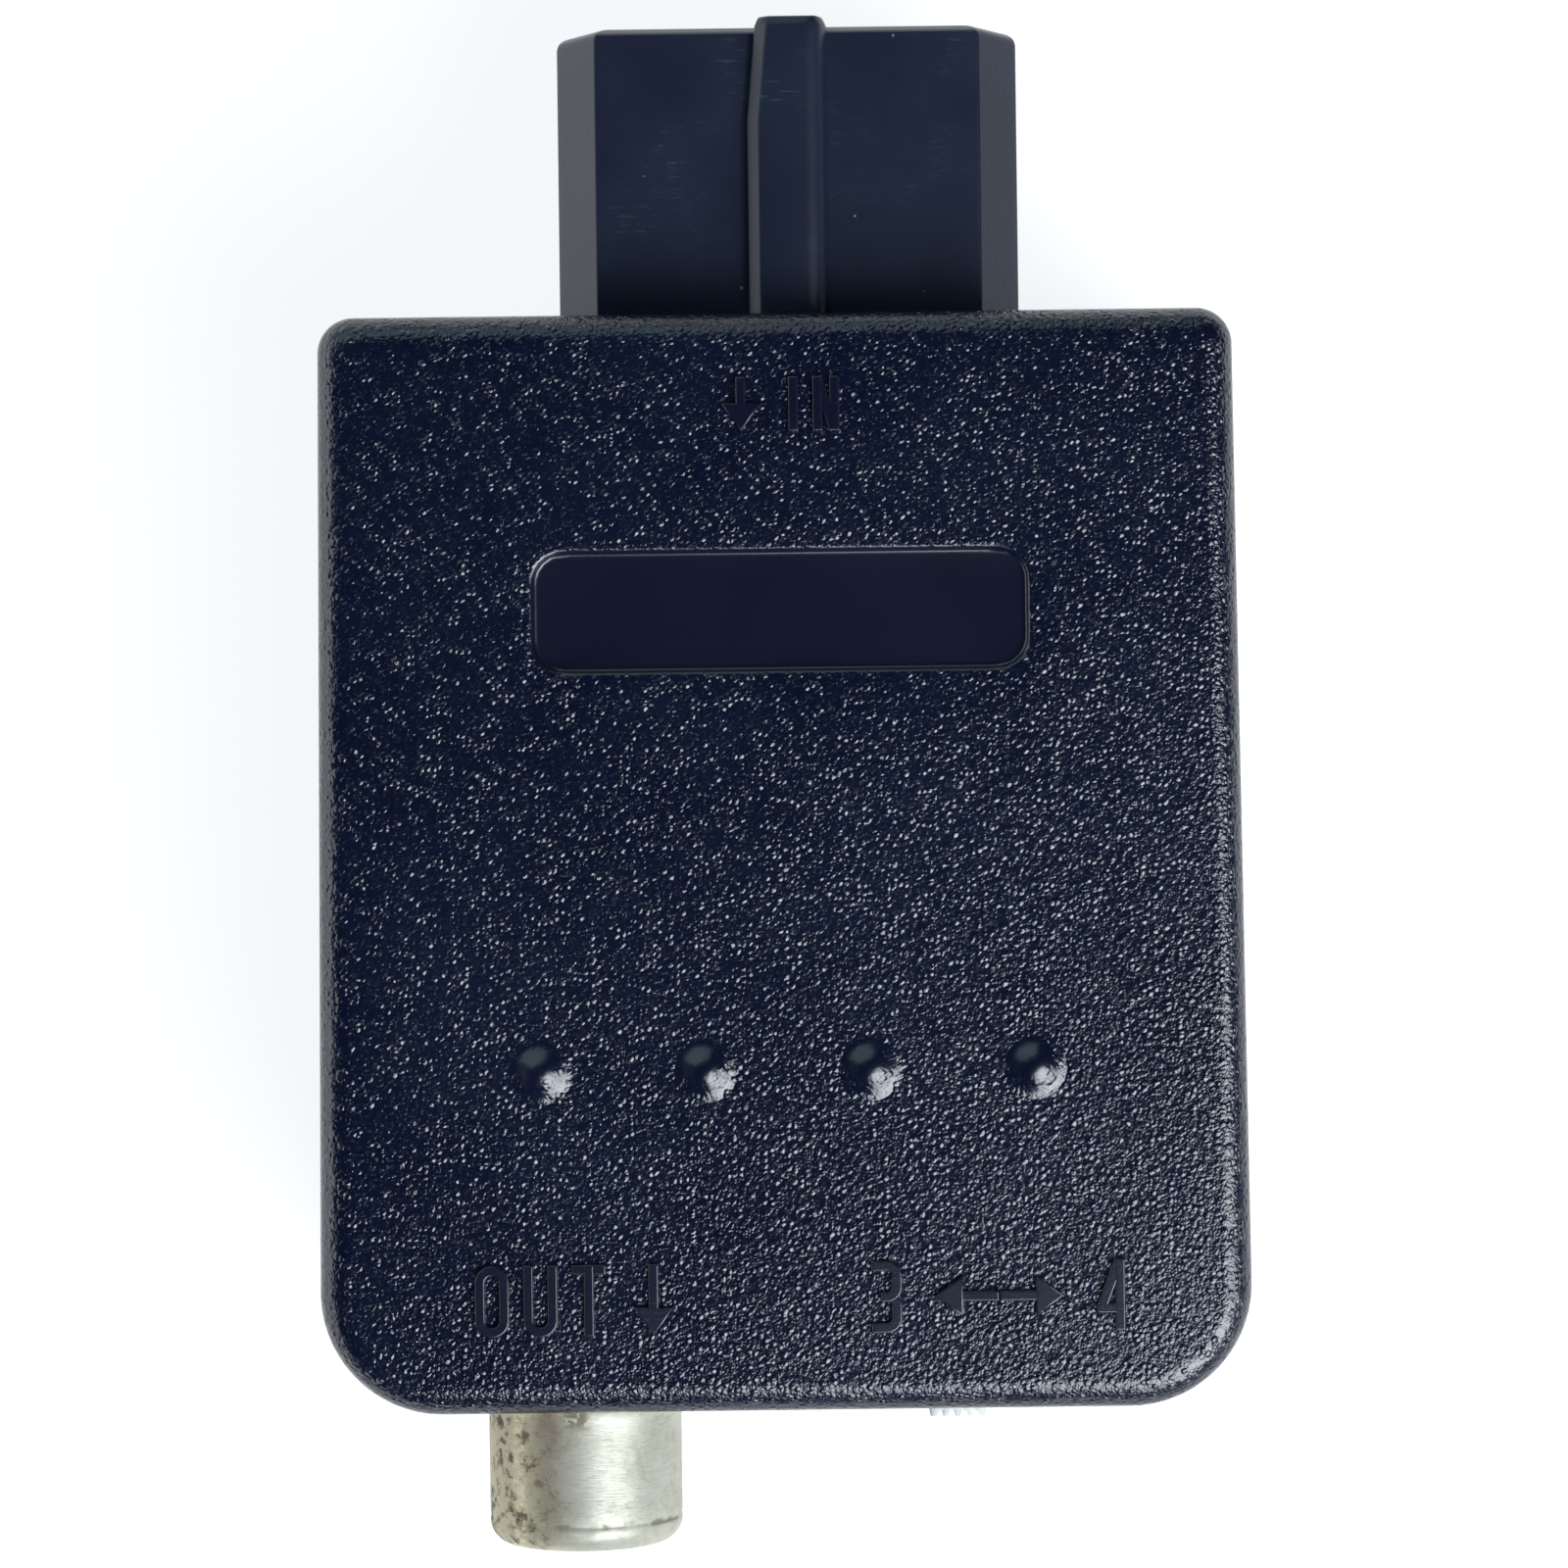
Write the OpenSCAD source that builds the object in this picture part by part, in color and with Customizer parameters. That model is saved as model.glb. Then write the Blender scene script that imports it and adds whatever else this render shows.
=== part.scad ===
// RF modulator: a small moulded case that plugs straight into the flat output
// socket of a console and gives an aerial signal at a phono jack.
// The origin is the middle of the back face. X is to the right, Y is towards
// the plug and Z is out of the front face. Lengths are in millimetres.

/* [Case] */
// Length of the case between its plug end and its jack end
case_length = 45.6; // [44.5:0.1:50]
// Width of the case at the jack end
case_width = 38.7; // [37.6:0.1:42]
// Width of the case at the plug end
plug_end_width = 38; // [37.4:0.1:41]
// Depth of the case from its back face to its front face
case_depth = 17.5; // [17.4:0.1:20]
// Corner radius in plan at the plug end
plug_end_corner = 1.5; // [1.4:0.1:3]
// Corner radius in plan at the jack end
jack_end_corner = 5.1; // [3:0.1:5.6]
// Rounding of the edges around the front and back faces
edge_round = 1.3; // [0.6:0.1:1.3]
// Thickness of the case walls
wall = 1.8; // [1.5:0.1:2]
// Height of the lip that locates the two halves
lip_height = 1; // [0.6:0.1:1.4]
// Thickness of that lip
lip_thickness = 0.8; // [0.6:0.1:0.9]
// Gap around the lip, and around the pieces that leave through the walls
case_gap = 0.15; // [0.1:0.01:0.2]

/* [Front face] */
// Width of the bare name field
field_width = 20.5; // [16:0.5:24]
// Height of the bare name field
field_height = 5; // [3:0.1:6]
// Corner radius of the name field
field_corner = 1.3; // [0.5:0.1:1.4]
// Depth of the name field
field_depth = 0.3; // [0.2:0.05:0.5]
// Distance of the name field from the plug end
field_inset = 12.4; // [11:0.1:15]
// Diameter of each raised dot
dot_diameter = 2.6; // [1.8:0.1:3]
// Height of each raised dot
dot_height = 0.6; // [0.4:0.1:0.9]
// Spacing of the raised dots
dot_pitch = 6.8; // [5:0.1:8]
// Number of raised dots
dot_count = 4; // [2:1:4]
// Distance of the row of dots from the jack end
dot_inset = 14.2; // [11:0.1:16]
// Height of the raised marks above the face
mark_relief = 0.25; // [0.15:0.05:0.4]
// Stroke width of the raised marks
mark_stroke = 0.45; // [0.35:0.05:0.5]
// Height of the marks at the jack end
mark_height = 3; // [2.6:0.1:3.4]
// Height of the mark at the plug end
small_mark_height = 2.3; // [2:0.1:2.6]
// Distance of the jack end marks from that end
mark_inset = 4.8; // [4.4:0.1:6]
// Distance of the plug end mark from that end
small_mark_inset = 3.9; // [3.4:0.1:4.6]

/* [Plug] */
// Width of the plug
plug_width = 19.6; // [19:0.1:21]
// Thickness of the plug
plug_thickness = 9.6; // [9:0.1:10.4]
// How far the plug stands out of the case
plug_reach = 12.4; // [11:0.1:14]
// Distance of the plug to the right of the case's middle
plug_offset = 0.65; // [0:0.05:1]
// Width of the chamfers along the plug's front corners
plug_chamfer_width = 1.7; // [1:0.1:1.9]
// Depth of those chamfers
plug_chamfer_depth = 2.6; // [1.6:0.1:2.8]
// Width of the key rib on the plug's front face
key_width = 3.4; // [2:0.1:4.5]
// Height of the key rib
key_height = 0.9; // [0.5:0.1:1.2]
// Thickness of the plug's walls on both sides of its socket slot
slot_side_wall = 1.9; // [1.8:0.1:2.3]
// Height of the socket slot
slot_height = 5; // [4.9:0.1:5.2]
// Depth of the socket slot
slot_depth = 9.5; // [8:0.1:10]
// Number of contacts in the plug
contact_count = 12; // [6:1:12]
// Distance of the outer contacts from the sides of the slot
contact_margin = 1.025; // [0.9:0.025:1.5]

/* [Jack] */
// Outer diameter of the jack's sleeve
jack_diameter = 8.3; // [8.2:0.05:8.4]
// How far the sleeve stands out of the case
jack_reach = 6.5; // [6:0.05:9]
// Distance of the jack from the left side of the case
jack_side_inset = 10.6; // [10.4:0.05:10.8]
// Inner diameter of the sleeve
jack_bore = 7.1; // [6.9:0.05:7.2]
// Opening in the sleeve's rolled end
jack_mouth = 5.6; // [5:0.1:6]
// Rounding of the sleeve's rolled end
jack_rim_round = 1; // [0.6:0.1:1.1]
// Bore of the centre contact
pin_bore = 3.2; // [3:0.05:3.3]

/* [Switch] */
// Distance of the switch from the right side of the case
switch_side_inset = 10.55; // [10.35:0.05:10.75]
// Travel of the knob between its two places
knob_travel = 3; // [2:0.1:3.2]
// Width of the knob
knob_width = 2.4; // [1.8:0.1:2.6]
// Height of the knob
knob_height = 3.2; // [2.6:0.1:3.6]
// How far the knob stands out of the case
knob_reach = 1.2; // [0.5:0.1:2]
// Number of ribs across the knob's tip
knob_ribs = 5; // [3:1:7]

/* [Boards and can] */
// Thickness of the main board
board_thickness = 1.2; // [0.8:0.1:1.4]
// Distance of the main board's top below the plug and jack axis
board_drop = 4.95; // [4.85:0.05:5.2]
// Gap between the can and the main board's left edge
can_side_gap = 0.5; // [0.4:0.1:1]
// Gap between the can and the case's middle plane
can_middle_gap = 0.6; // [0.4:0.1:1]
// Length of the can
can_length = 14.4; // [13.8:0.1:15]
// Height of the can with both lids
can_height = 10.2; // [9.9:0.1:10.8]
// Thickness of the can's sheet
sheet = 0.4; // [0.3:0.05:0.45]
// Turning radius of the tuning slug
slug_radius = 1.6; // [1.4:0.05:1.7]
// Length of the tuning slug
slug_length = 3.6; // [3:0.1:4]

/* [Hidden] */
$fn = 48;
over = 0.5;
corner_steps = 8;
round_steps = 6;
post_facets = 64;

// Planes of the case
axis_z = case_depth / 2;
plug_end = case_length / 2;
jack_end = -case_length / 2;
plug_inner = plug_end - wall;
jack_inner = jack_end + wall;
floor_z = wall;
ceiling_z = case_depth - wall;
inner_corner = 0.5;
side_slope = (case_width - plug_end_width) / 2 / case_length;
jack_offset = case_width / 2 - jack_side_inset;
switch_offset = case_width / 2 - switch_side_inset;

// Places and sizes of the marks on the front face
field_shift = 0.1;
mark_shift = 0.2;
mark_gap = 0.55;
letter_width = 1.45;
small_letter_width = 1.15;
arrow_head = 1.2;
arrow_half_share = 0.7;
arrow_neck_share = 0.6;
digit_width = 1.3;
digit_gap = 1.3;
span_arrow = 5.4;
three_bar_share = 0.3;
three_clip = 0.3;
three_notch = 0.2;
four_stem_share = 0.58;
four_bar_share = 0.24;

// Boards stand on posts above the back's floor
board_top = axis_z - board_drop;
board_bottom = board_top - board_thickness;
board_side_gap = 0.5;
board_half = min(case_width, plug_end_width) / 2 - wall - board_side_gap;
board_jack_end = jack_inner + board_side_gap;
board_corner_cut = jack_end_corner - wall;
pin_tail = 0.4;
fit_gap = 0.1;
slip_gap = 0.05;

// Screws and their tubes
screw_y = 2.5;
screw_shank = 2;
screw_head = 3.8;
screw_head_height = 1.5;
screw_length = 8;
screw_tip = 1;
screw_bore_gap = 0.05;
head_bore = 4.2;
head_sink = 5;
tube_diameter = 5;
tube_joint_drop = 1.3;
tube_gap = 0.3;
drive_width = 0.7;
drive_length = 2.4;
drive_depth = 0.8;
screw_x = case_width / 2 - side_slope * (screw_y - jack_end) - wall - tube_diameter / 2 - fit_gap;

// Posts that carry and hold the main board
post_diameter = 3;
clamp_diameter = 2.4;
post_inset = 3.1;
post_x = board_half - post_inset;
post_from_plug_end = 10.2;
post_from_jack_end = 10.3;

// Rib that holds the plug's flange against the end wall
flange_grow = 1.2;
flange_room = 3;
rib_thickness = 1;
rib_margin = 1.6;
rib_y = plug_inner - flange_room - rib_thickness;
board_plug_end = rib_y - board_side_gap;

// Recess for a label in the back
label_width = 22;
label_length = 14;
label_y = 10;
label_corner = 1;
label_depth = 0.25;

// Plug
plug_tip = plug_end + plug_reach;
plug_back_reach = 1.4;
plug_back = rib_y - plug_back_reach;
tip_bevel = 0.35;
tip_corner = 0.6;
key_tip = 0.3;
key_taper = 0.4;
key_taper_length = 4.4;
key_edge = 0.2;
pocket_side_gap = 0.2;
pocket_wall = 1.6;
slot_width = plug_width - 2 * slot_side_wall;
pocket_width = slot_width + 2 * pocket_side_gap;
pocket_height = plug_thickness - 2 * pocket_wall;
web_thickness = 2;
contact_width = 0.6;
contact_pitch = (slot_width - 2 * contact_margin) / (contact_count - 1);
contact_strip = 0.3;
contact_lift = 0.2;
contact_rise = 0.35;
contact_foot = 1.2;
contact_setback = 0.8;
contact_crest = 1.8;
contact_ramp = 2;
slot_back = plug_tip - slot_depth;
contact_z = axis_z - slot_height / 2 + contact_lift;

// Jack
flange_diameter = 9.6;
flange_thickness = 0.5;
collar_diameter = 9;
collar_reach = 0.3;
rim_thickness = 0.6;
insulator_recess = 0.5;
insulator_face = 1.3;
insulator_entry = 3.6;
pin_tube_wall = 0.5;
pin_tube_floor = 0.5;
pin_tube_start = 0.6;
pin_slit = 0.5;
pin_slit_length = 5.5;
tail_diameter = 1.2;
tail_tab = 0.8;
spigot_diameter = 5.4;
spigot_length = 1.2;
can_standoff = 1.6;
can_jack_side = jack_inner + can_standoff;
can_plug_side = can_jack_side + can_length;
can_left = -board_half + can_side_gap;
can_right = -can_middle_gap;
can_width = can_right - can_left;
can_x = (can_left + can_right) / 2;
jack_flange_y = can_jack_side - flange_thickness;
jack_tip = jack_end - jack_reach;

// Can and what it holds
frame_bottom = board_top + sheet;
frame_top = board_top + can_height - sheet;
tab_sheet = 0.3;
tab_height = 1.8;
tab_length = 3;
mod_board_lift = 1;
mod_board_thickness = 1;
mod_board_bottom = frame_bottom + mod_board_lift;
mod_board_top = mod_board_bottom + mod_board_thickness;
feed_count = 5;
feed_pitch = 2.5;
feed_width = 0.6;
feed_hole = 1;
feed_clear_hole = 1.6;
feed_inset = 2;
feed_y = can_plug_side - feed_inset;
feed_above = 0.6;
chip_width = 3.8;
chip_length = 6.2;
chip_height = 1.4;
chip_lift = 0.1;
chip_leg = 0.4;
chip_leg_reach = 0.8;
chip_leg_height = 0.7;
chip_legs = 7;
chip_pitch = 0.8;
cell_inset = 6.9;
cell_y = can_jack_side + cell_inset;
coil_base = 5;
coil_base_height = 1;
former_diameter = 4.4;
former_height = 6.4;
former_floor = 0.4;
winding_wall = 0.45;
winding_height = 3;
slug_gap = 0.05;
slug_lift = 1.4;
slug_hex = 1.4;
tool_hole = 3.6;
coil_wall_gap = 0.3;
winding_radius = former_diameter / 2 + slip_gap + winding_wall;
coil_x = can_right - sheet - coil_wall_gap - winding_radius;
chip_x = (can_left + sheet + coil_x - winding_radius) / 2;
filter_width = 4.6;
filter_depth = 1.6;
filter_height = 3.2;
filter_inset = 3.1;
filter_y = can_jack_side + filter_inset;
part_size = [1.25, 0.8, 0.8];
part_count = 5;
part_pitch = 2.4;
part_inset = 3.6;
part_y = can_plug_side - part_inset;
lid_rib_gap = 0.3;
lid_rib_width = 1;
lid_rib_length = 8;
lid_rib_spacing = 4;

// Switch
knob_gap = 0.3;
switch_back_gap = 0.4;
switch_front = jack_inner + switch_back_gap;
slider_length = 5;
slider_thickness = 1.8;
slider_height = 4.8;
slider_gap = 0.1;
slider_end_gap = 0.15;
wiper_room = 0.9;
switch_base_thickness = 1.2;
switch_inner_width = slider_length + knob_travel + 2 * slider_end_gap;
switch_inner_height = slider_height + 2 * slider_gap;
switch_width = switch_inner_width + 2 * sheet;
switch_height = switch_inner_height + 2 * sheet;
slider_y = switch_front + sheet + slider_gap;
slider_back = slider_y + slider_thickness;
pad_thickness = 0.3;
pad_width = 1.6;
pad_height = 2.4;
pad_y = slider_back + wiper_room;
switch_base_y = pad_y + pad_thickness;
switch_back = switch_base_y + switch_base_thickness;
terminal_pitch = knob_travel;
terminal_width = 0.8;
terminal_strip = 0.4;
leg_length = 1.5;
leg_slot_gap = 0.2;
leg_inset = 1.4;
wiper_length = 4.4;
wiper_height = 2.2;
wiper_strip = 0.3;
wiper_gap = 0.1;
wiper_bump = 1;
knob_rest_x = switch_offset - knob_travel / 2;
knob_tip = jack_end - knob_reach;
rib_notch = 0.25;

// Parts on the main board, placed from the can and the board's plug end
cap_height = 9;
cap_crimp = 0.25;
cap_crimp_at = 1.6;
cap_edge = 0.3;
big_cap = 6.3;
small_cap = 5;
disc_diameter = 4.4;
disc_thickness = 1.6;
disc_lift = 0.8;
lead = 0.5;
resistor_body = 3.6;
resistor_span = 6;
resistor_diameter = 1.7;
resistor_cap = 0.15;
resistor_lift = 0.2;
transistor_diameter = 4.6;
transistor_flat = 1.3;
transistor_height = 4.6;
transistor_lift = 2.5;
transistor_pitch = 1.27;
choke_diameter = 5;
choke_height = 5;
choke_flange = 0.9;
choke_waist = 3.2;
plug_row_inset = 7.9;
middle_row_inset = 4;
jack_row_inset = 9.4;
plug_row = board_plug_end - plug_row_inset;
middle_row = can_plug_side + middle_row_inset;
jack_row = can_jack_side + jack_row_inset;
row_gap = 0.8;
plug_row_width = big_cap + small_cap + 2 * transistor_diameter + 3 * row_gap;
big_cap_x = (big_cap - plug_row_width) / 2;
small_cap_x = big_cap_x + (big_cap + small_cap) / 2 + row_gap;
first_transistor_x = small_cap_x + (small_cap + transistor_diameter) / 2 + row_gap;
jack_row_gap = 2.4;
jack_row_cap_x = can_right + jack_row_gap + small_cap / 2;
choke_x = (jack_row_cap_x + small_cap / 2 + board_half) / 2;
disc_gap = 1.1;
resistor_share = -0.58;
transistor_count = 2;
disc_count = 3;
disc_pitch = 3;
disc_first = 1.6;
resistor_count = 5;
resistor_pitch = 2.6;
resistor_cap_share = 0.3;
resistor_x = resistor_share * board_half;
resistor_end = resistor_x + resistor_pitch * (resistor_count - 1) + resistor_diameter / 2;
disc_x = resistor_end + disc_gap + disc_diameter / 2;

// Points of the case's plan outline, drawn in by inset
function corner_arc(cx, cy, r, start) = [
  for (i = [0 : corner_steps])
    let (a = start + 90 * i / corner_steps) [cx + r * cos(a), cy + r * sin(a)]
];
function inner_radius(r, inset) = max(r - inset, inner_corner);
function case_outline(inset) =
  let (
    rp = inner_radius(plug_end_corner, inset),
    rj = inner_radius(jack_end_corner, inset),
    xp = plug_end_width / 2 - inset - rp,
    xj = case_width / 2 - inset - rj,
    yp = plug_end - inset - rp,
    yj = jack_end + inset + rj
  )
  concat(
    corner_arc(xp, yp, rp, 0), corner_arc(-xp, yp, rp, 90),
    corner_arc(-xj, yj, rj, 180), corner_arc(xj, yj, rj, 270)
  );

// Section of the plug seen along its length, grown outwards by grow
function plug_section(grow) =
  let (w = plug_width / 2 + grow, t = plug_thickness / 2 + grow)
  [
    [-w, -t], [w, -t], [w, t - plug_chamfer_depth], [w - plug_chamfer_width, t],
    [-w + plug_chamfer_width, t], [-w, t - plug_chamfer_depth]
  ];

// Upright corner post whose upper edge is rounded
module corner_post(r, height) {
  rotate_extrude($fn = post_facets)
    polygon(concat(
      [[0, 0], [r, 0]],
      [
        for (i = [0 : round_steps])
          let (a = 90 * i / round_steps)
          [r - edge_round + edge_round * cos(a), height - edge_round + edge_round * sin(a)]
      ],
      [[0, height]]
    ));
}

// Outer form of one half of the case, from the parting plane outwards
module half_block() {
  xp = plug_end_width / 2 - plug_end_corner;
  xj = case_width / 2 - jack_end_corner;
  hull()
    for (side = [-1, 1]) {
      translate([side * xp, plug_end - plug_end_corner, 0])
        corner_post(plug_end_corner, axis_z);
      translate([side * xj, jack_end + jack_end_corner, 0])
        corner_post(jack_end_corner, axis_z);
    }
}

module outline_slab(inset, z_low, z_high) {
  translate([0, 0, z_low])
    linear_extrude(z_high - z_low)
      polygon(case_outline(inset));
}

// Prism of the plug's section between two stations along Y
module plug_prism(grow, y_low, y_high) {
  translate([plug_offset, y_high, axis_z])
    rotate([90, 0, 0])
      linear_extrude(y_high - y_low)
        polygon(plug_section(grow));
}

// Children drawn along Z come out along the jack, measured from Y = 0
module along_jack() {
  translate([-jack_offset, 0, axis_z])
    rotate([90, 0, 0])
      children();
}

module centred_box(x, y_low, y_high, z_low, z_high, width) {
  translate([x - width / 2, y_low, z_low])
    cube([width, y_high - y_low, z_high - z_low]);
}

// Ways for the plug, the jack and the knob out of either half
module wall_openings() {
  plug_prism(case_gap, rib_y - over, plug_end + over);
  along_jack()
    translate([0, 0, -jack_inner - over])
      cylinder(d = collar_diameter + 2 * case_gap, h = wall + 2 * over);
  centred_box(
    switch_offset, jack_end - over, jack_inner + over,
    axis_z - knob_height / 2 - knob_gap, axis_z + knob_height / 2 + knob_gap,
    knob_width + knob_travel + 2 * knob_gap
  );
}

module screw_places() {
  for (side = [-1, 1])
    translate([side * screw_x, screw_y, 0])
      children();
}

// Plug end flange rib of one half, from z_low to z_high
module flange_rib(z_low, z_high) {
  centred_box(
    plug_offset, rib_y, rib_y + rib_thickness, z_low, z_high,
    plug_width + 2 * flange_grow + 2 * rib_margin
  );
}

module rounded_plate(width, length, corner, height) {
  x = width / 2 - corner;
  y = length / 2 - corner;
  translate([-x, -length / 2, 0])
    cube([2 * x, length, height]);
  translate([-width / 2, -y, 0])
    cube([width, 2 * y, height]);
  for (sx = [-1, 1], sy = [-1, 1])
    translate([sx * x, sy * y, 0])
      cylinder(r = corner, h = height);
}

// Raised marks: each stroke is a bar of the mark's stroke width
module bar(x, y, width, length) {
  translate([x, y, -mark_relief])
    cube([width, length, 2 * mark_relief]);
}

module mark_prism(points) {
  translate([0, 0, -mark_relief])
    linear_extrude(2 * mark_relief)
      polygon(points);
}

module mark_i(h) {
  bar(0, 0, mark_stroke, h);
}

module mark_n(w, h) {
  bar(0, 0, mark_stroke, h);
  bar(w - mark_stroke, 0, mark_stroke, h);
  mark_prism([[0, h], [mark_stroke, h], [w, 0], [w - mark_stroke, 0]]);
}

module mark_t(w, h) {
  bar(0, h - mark_stroke, w, mark_stroke);
  bar(w / 2 - mark_stroke / 2, 0, mark_stroke, h);
}

// Narrow ring; the lower bend alone when open is true
module mark_bend(w, h, open) {
  r = w / 2;
  inner = r - mark_stroke;
  difference() {
    union() {
      translate([r, r, -mark_relief])
        cylinder(r = r, h = 2 * mark_relief);
      bar(0, r, w, open ? h - r : h - 2 * r);
      if (!open)
        translate([r, h - r, -mark_relief])
          cylinder(r = r, h = 2 * mark_relief);
    }
    translate([r, r, -mark_relief - over])
      cylinder(r = inner, h = 2 * mark_relief + 2 * over);
    translate([mark_stroke, r, -mark_relief - over])
      cube([2 * inner, open ? h - r + over : h - 2 * r, 2 * mark_relief + 2 * over]);
    if (!open)
      translate([r, h - r, -mark_relief - over])
        cylinder(r = inner, h = 2 * mark_relief + 2 * over);
  }
}

// Two stacked bowls open to the left, with clipped corners and a waist
module mark_three(w, h) {
  c = three_clip;
  s = mark_stroke;
  m = h / 2;
  bar_start = w * three_bar_share;
  mark_prism([
    [0, 0], [w - c, 0], [w, c], [w, m - c], [w - three_notch, m], [w, m + c],
    [w, h - c], [w - c, h], [0, h], [0, h - s], [w - s, h - s], [w - s, m + s / 2],
    [bar_start, m + s / 2], [bar_start, m - s / 2], [w - s, m - s / 2], [w - s, s], [0, s]
  ]);
}

module mark_four(w, h) {
  stem = w * four_stem_share;
  shelf = h * four_bar_share;
  bar(stem, 0, mark_stroke, h);
  bar(0, shelf, w, mark_stroke);
  mark_prism([
    [0, shelf + mark_stroke], [mark_stroke, shelf + mark_stroke],
    [stem + mark_stroke, h], [stem, h]
  ]);
}

// Arrow along +X: a shaft and a head
module mark_arrow(length) {
  half = arrow_head * arrow_half_share;
  bar(0, -mark_stroke / 2, length - arrow_head * arrow_neck_share, mark_stroke);
  mark_prism([[length - arrow_head, half], [length, 0], [length - arrow_head, -half]]);
}

// Signal in at the plug: an arrow pointing into the case, then two letters
module input_mark() {
  half = arrow_head * arrow_half_share;
  letters = 2 * half + 2 * mark_gap;
  width = letters + mark_stroke + mark_gap + small_letter_width;
  translate([mark_shift - width / 2, plug_end - small_mark_inset - small_mark_height / 2, case_depth]) {
    translate([half, small_mark_height, 0])
      rotate([0, 0, -90])
        mark_arrow(small_mark_height);
    translate([letters, 0, 0])
      mark_i(small_mark_height);
    translate([letters + mark_stroke + mark_gap, 0, 0])
      mark_n(small_letter_width, small_mark_height);
  }
}

// Signal out at the jack: three letters, then an arrow pointing out
module output_mark() {
  step = letter_width + mark_gap;
  half = arrow_head * arrow_half_share;
  width = 3 * step + mark_gap + 2 * half;
  translate([-jack_offset - width / 2, jack_end + mark_inset - mark_height / 2, case_depth]) {
    mark_bend(letter_width, mark_height, false);
    translate([step, 0, 0])
      mark_bend(letter_width, mark_height, true);
    translate([2 * step, 0, 0])
      mark_t(letter_width, mark_height);
    translate([3 * step + mark_gap + half, mark_height, 0])
      rotate([0, 0, -90])
        mark_arrow(mark_height);
  }
}

// Two numbers with a double arrow between them, over the switch
module channel_mark() {
  y = jack_end + mark_inset - mark_height / 2;
  inner = span_arrow / 2 + digit_gap;
  translate([switch_offset, y, case_depth]) {
    translate([-inner - digit_width, 0, 0])
      mark_three(digit_width, mark_height);
    translate([inner, 0, 0])
      mark_four(digit_width, mark_height);
    for (turn = [0, 180])
      translate([0, mark_height / 2, 0])
        rotate([0, 0, turn])
          mark_arrow(span_arrow / 2);
  }
}

// Shallow round-topped dots in a row, cut from spheres
module raised_dots() {
  ball = (dot_diameter * dot_diameter / 4 + dot_height * dot_height) / 2 / dot_height;
  for (i = [0 : dot_count - 1])
    translate([
      mark_shift + (i - (dot_count - 1) / 2) * dot_pitch,
      jack_end + dot_inset, case_depth
    ])
      intersection() {
        translate([0, 0, dot_height - ball])
          sphere(r = ball);
        translate([0, 0, -dot_height / 2])
          cylinder(d = dot_diameter + dot_height, h = 2 * dot_height);
      }
}

module front_shell() {
  tube_end = axis_z - tube_joint_drop;
  color([0.08, 0.09, 0.16]) {
    difference() {
      union() {
        difference() {
          translate([0, 0, axis_z])
            half_block();
          outline_slab(wall, axis_z - over, ceiling_z);
          outline_slab(wall - lip_thickness - case_gap, axis_z - over, axis_z + lip_height + case_gap);
          translate([field_shift, plug_end - field_inset, case_depth - field_depth])
            rounded_plate(field_width, field_height, field_corner, field_depth + over);
        }
        flange_rib(axis_z, ceiling_z + over);
      }
      wall_openings();
    }
    screw_places()
      difference() {
        translate([0, 0, tube_end])
          cylinder(d = tube_diameter, h = ceiling_z + over - tube_end);
        translate([0, 0, tube_end - over])
          cylinder(d = screw_shank + 2 * screw_bore_gap, h = screw_length + over);
      }
    for (side = [-1, 1]) {
      translate([side * post_x, plug_end - post_from_plug_end, board_top + fit_gap])
        cylinder(d = clamp_diameter, h = ceiling_z + over - board_top - fit_gap);
      centred_box(
        can_x + side * lid_rib_spacing / 2,
        can_jack_side + can_length / 2 - lid_rib_length / 2,
        can_jack_side + can_length / 2 + lid_rib_length / 2,
        board_top + can_height + lid_rib_gap, ceiling_z + over, lid_rib_width
      );
    }
    raised_dots();
    input_mark();
    output_mark();
    channel_mark();
  }
}

module rear_shell() {
  tube_top = axis_z - tube_joint_drop - fit_gap;
  color([0.09, 0.1, 0.17])
    difference() {
      union() {
        difference() {
          translate([0, 0, axis_z])
            mirror([0, 0, 1])
              half_block();
          outline_slab(wall, floor_z, axis_z + over);
        }
        difference() {
          outline_slab(wall - lip_thickness, axis_z - lip_height, axis_z + lip_height);
          outline_slab(wall, axis_z - lip_height - over, axis_z + lip_height + over);
        }
        flange_rib(floor_z - over, axis_z);
        screw_places()
          translate([0, 0, floor_z - over])
            cylinder(d = tube_diameter, h = tube_top - floor_z + over);
        for (side = [-1, 1]) {
          translate([side * post_x, plug_end - post_from_plug_end, floor_z - over])
            cylinder(d = post_diameter, h = board_bottom - floor_z + over);
          translate([side * post_x, jack_end + post_from_jack_end, floor_z - over])
            cylinder(d = post_diameter, h = board_bottom - floor_z + over);
        }
      }
      wall_openings();
      screw_places() {
        translate([0, 0, -over])
          cylinder(d = head_bore, h = head_sink + over);
        cylinder(d = screw_shank + 2 * fit_gap, h = axis_z);
      }
      translate([0, label_y, -over])
        rounded_plate(label_width, label_length, label_corner, label_depth + over);
    }
}

module case_screws() {
  color([0.55, 0.56, 0.58])
    screw_places()
      difference() {
        union() {
          translate([0, 0, head_sink - screw_head_height])
            cylinder(d = screw_head, h = screw_head_height);
          translate([0, 0, head_sink])
            cylinder(d = screw_shank, h = screw_length - screw_tip);
          translate([0, 0, head_sink + screw_length - screw_tip])
            cylinder(d1 = screw_shank, d2 = screw_shank / 4, h = screw_tip);
        }
        for (turn = [0, 90])
          rotate([0, 0, turn])
            translate([-drive_length / 2, -drive_width / 2, head_sink - screw_head_height - over])
              cube([drive_length, drive_width, drive_depth + over]);
      }
}

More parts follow.
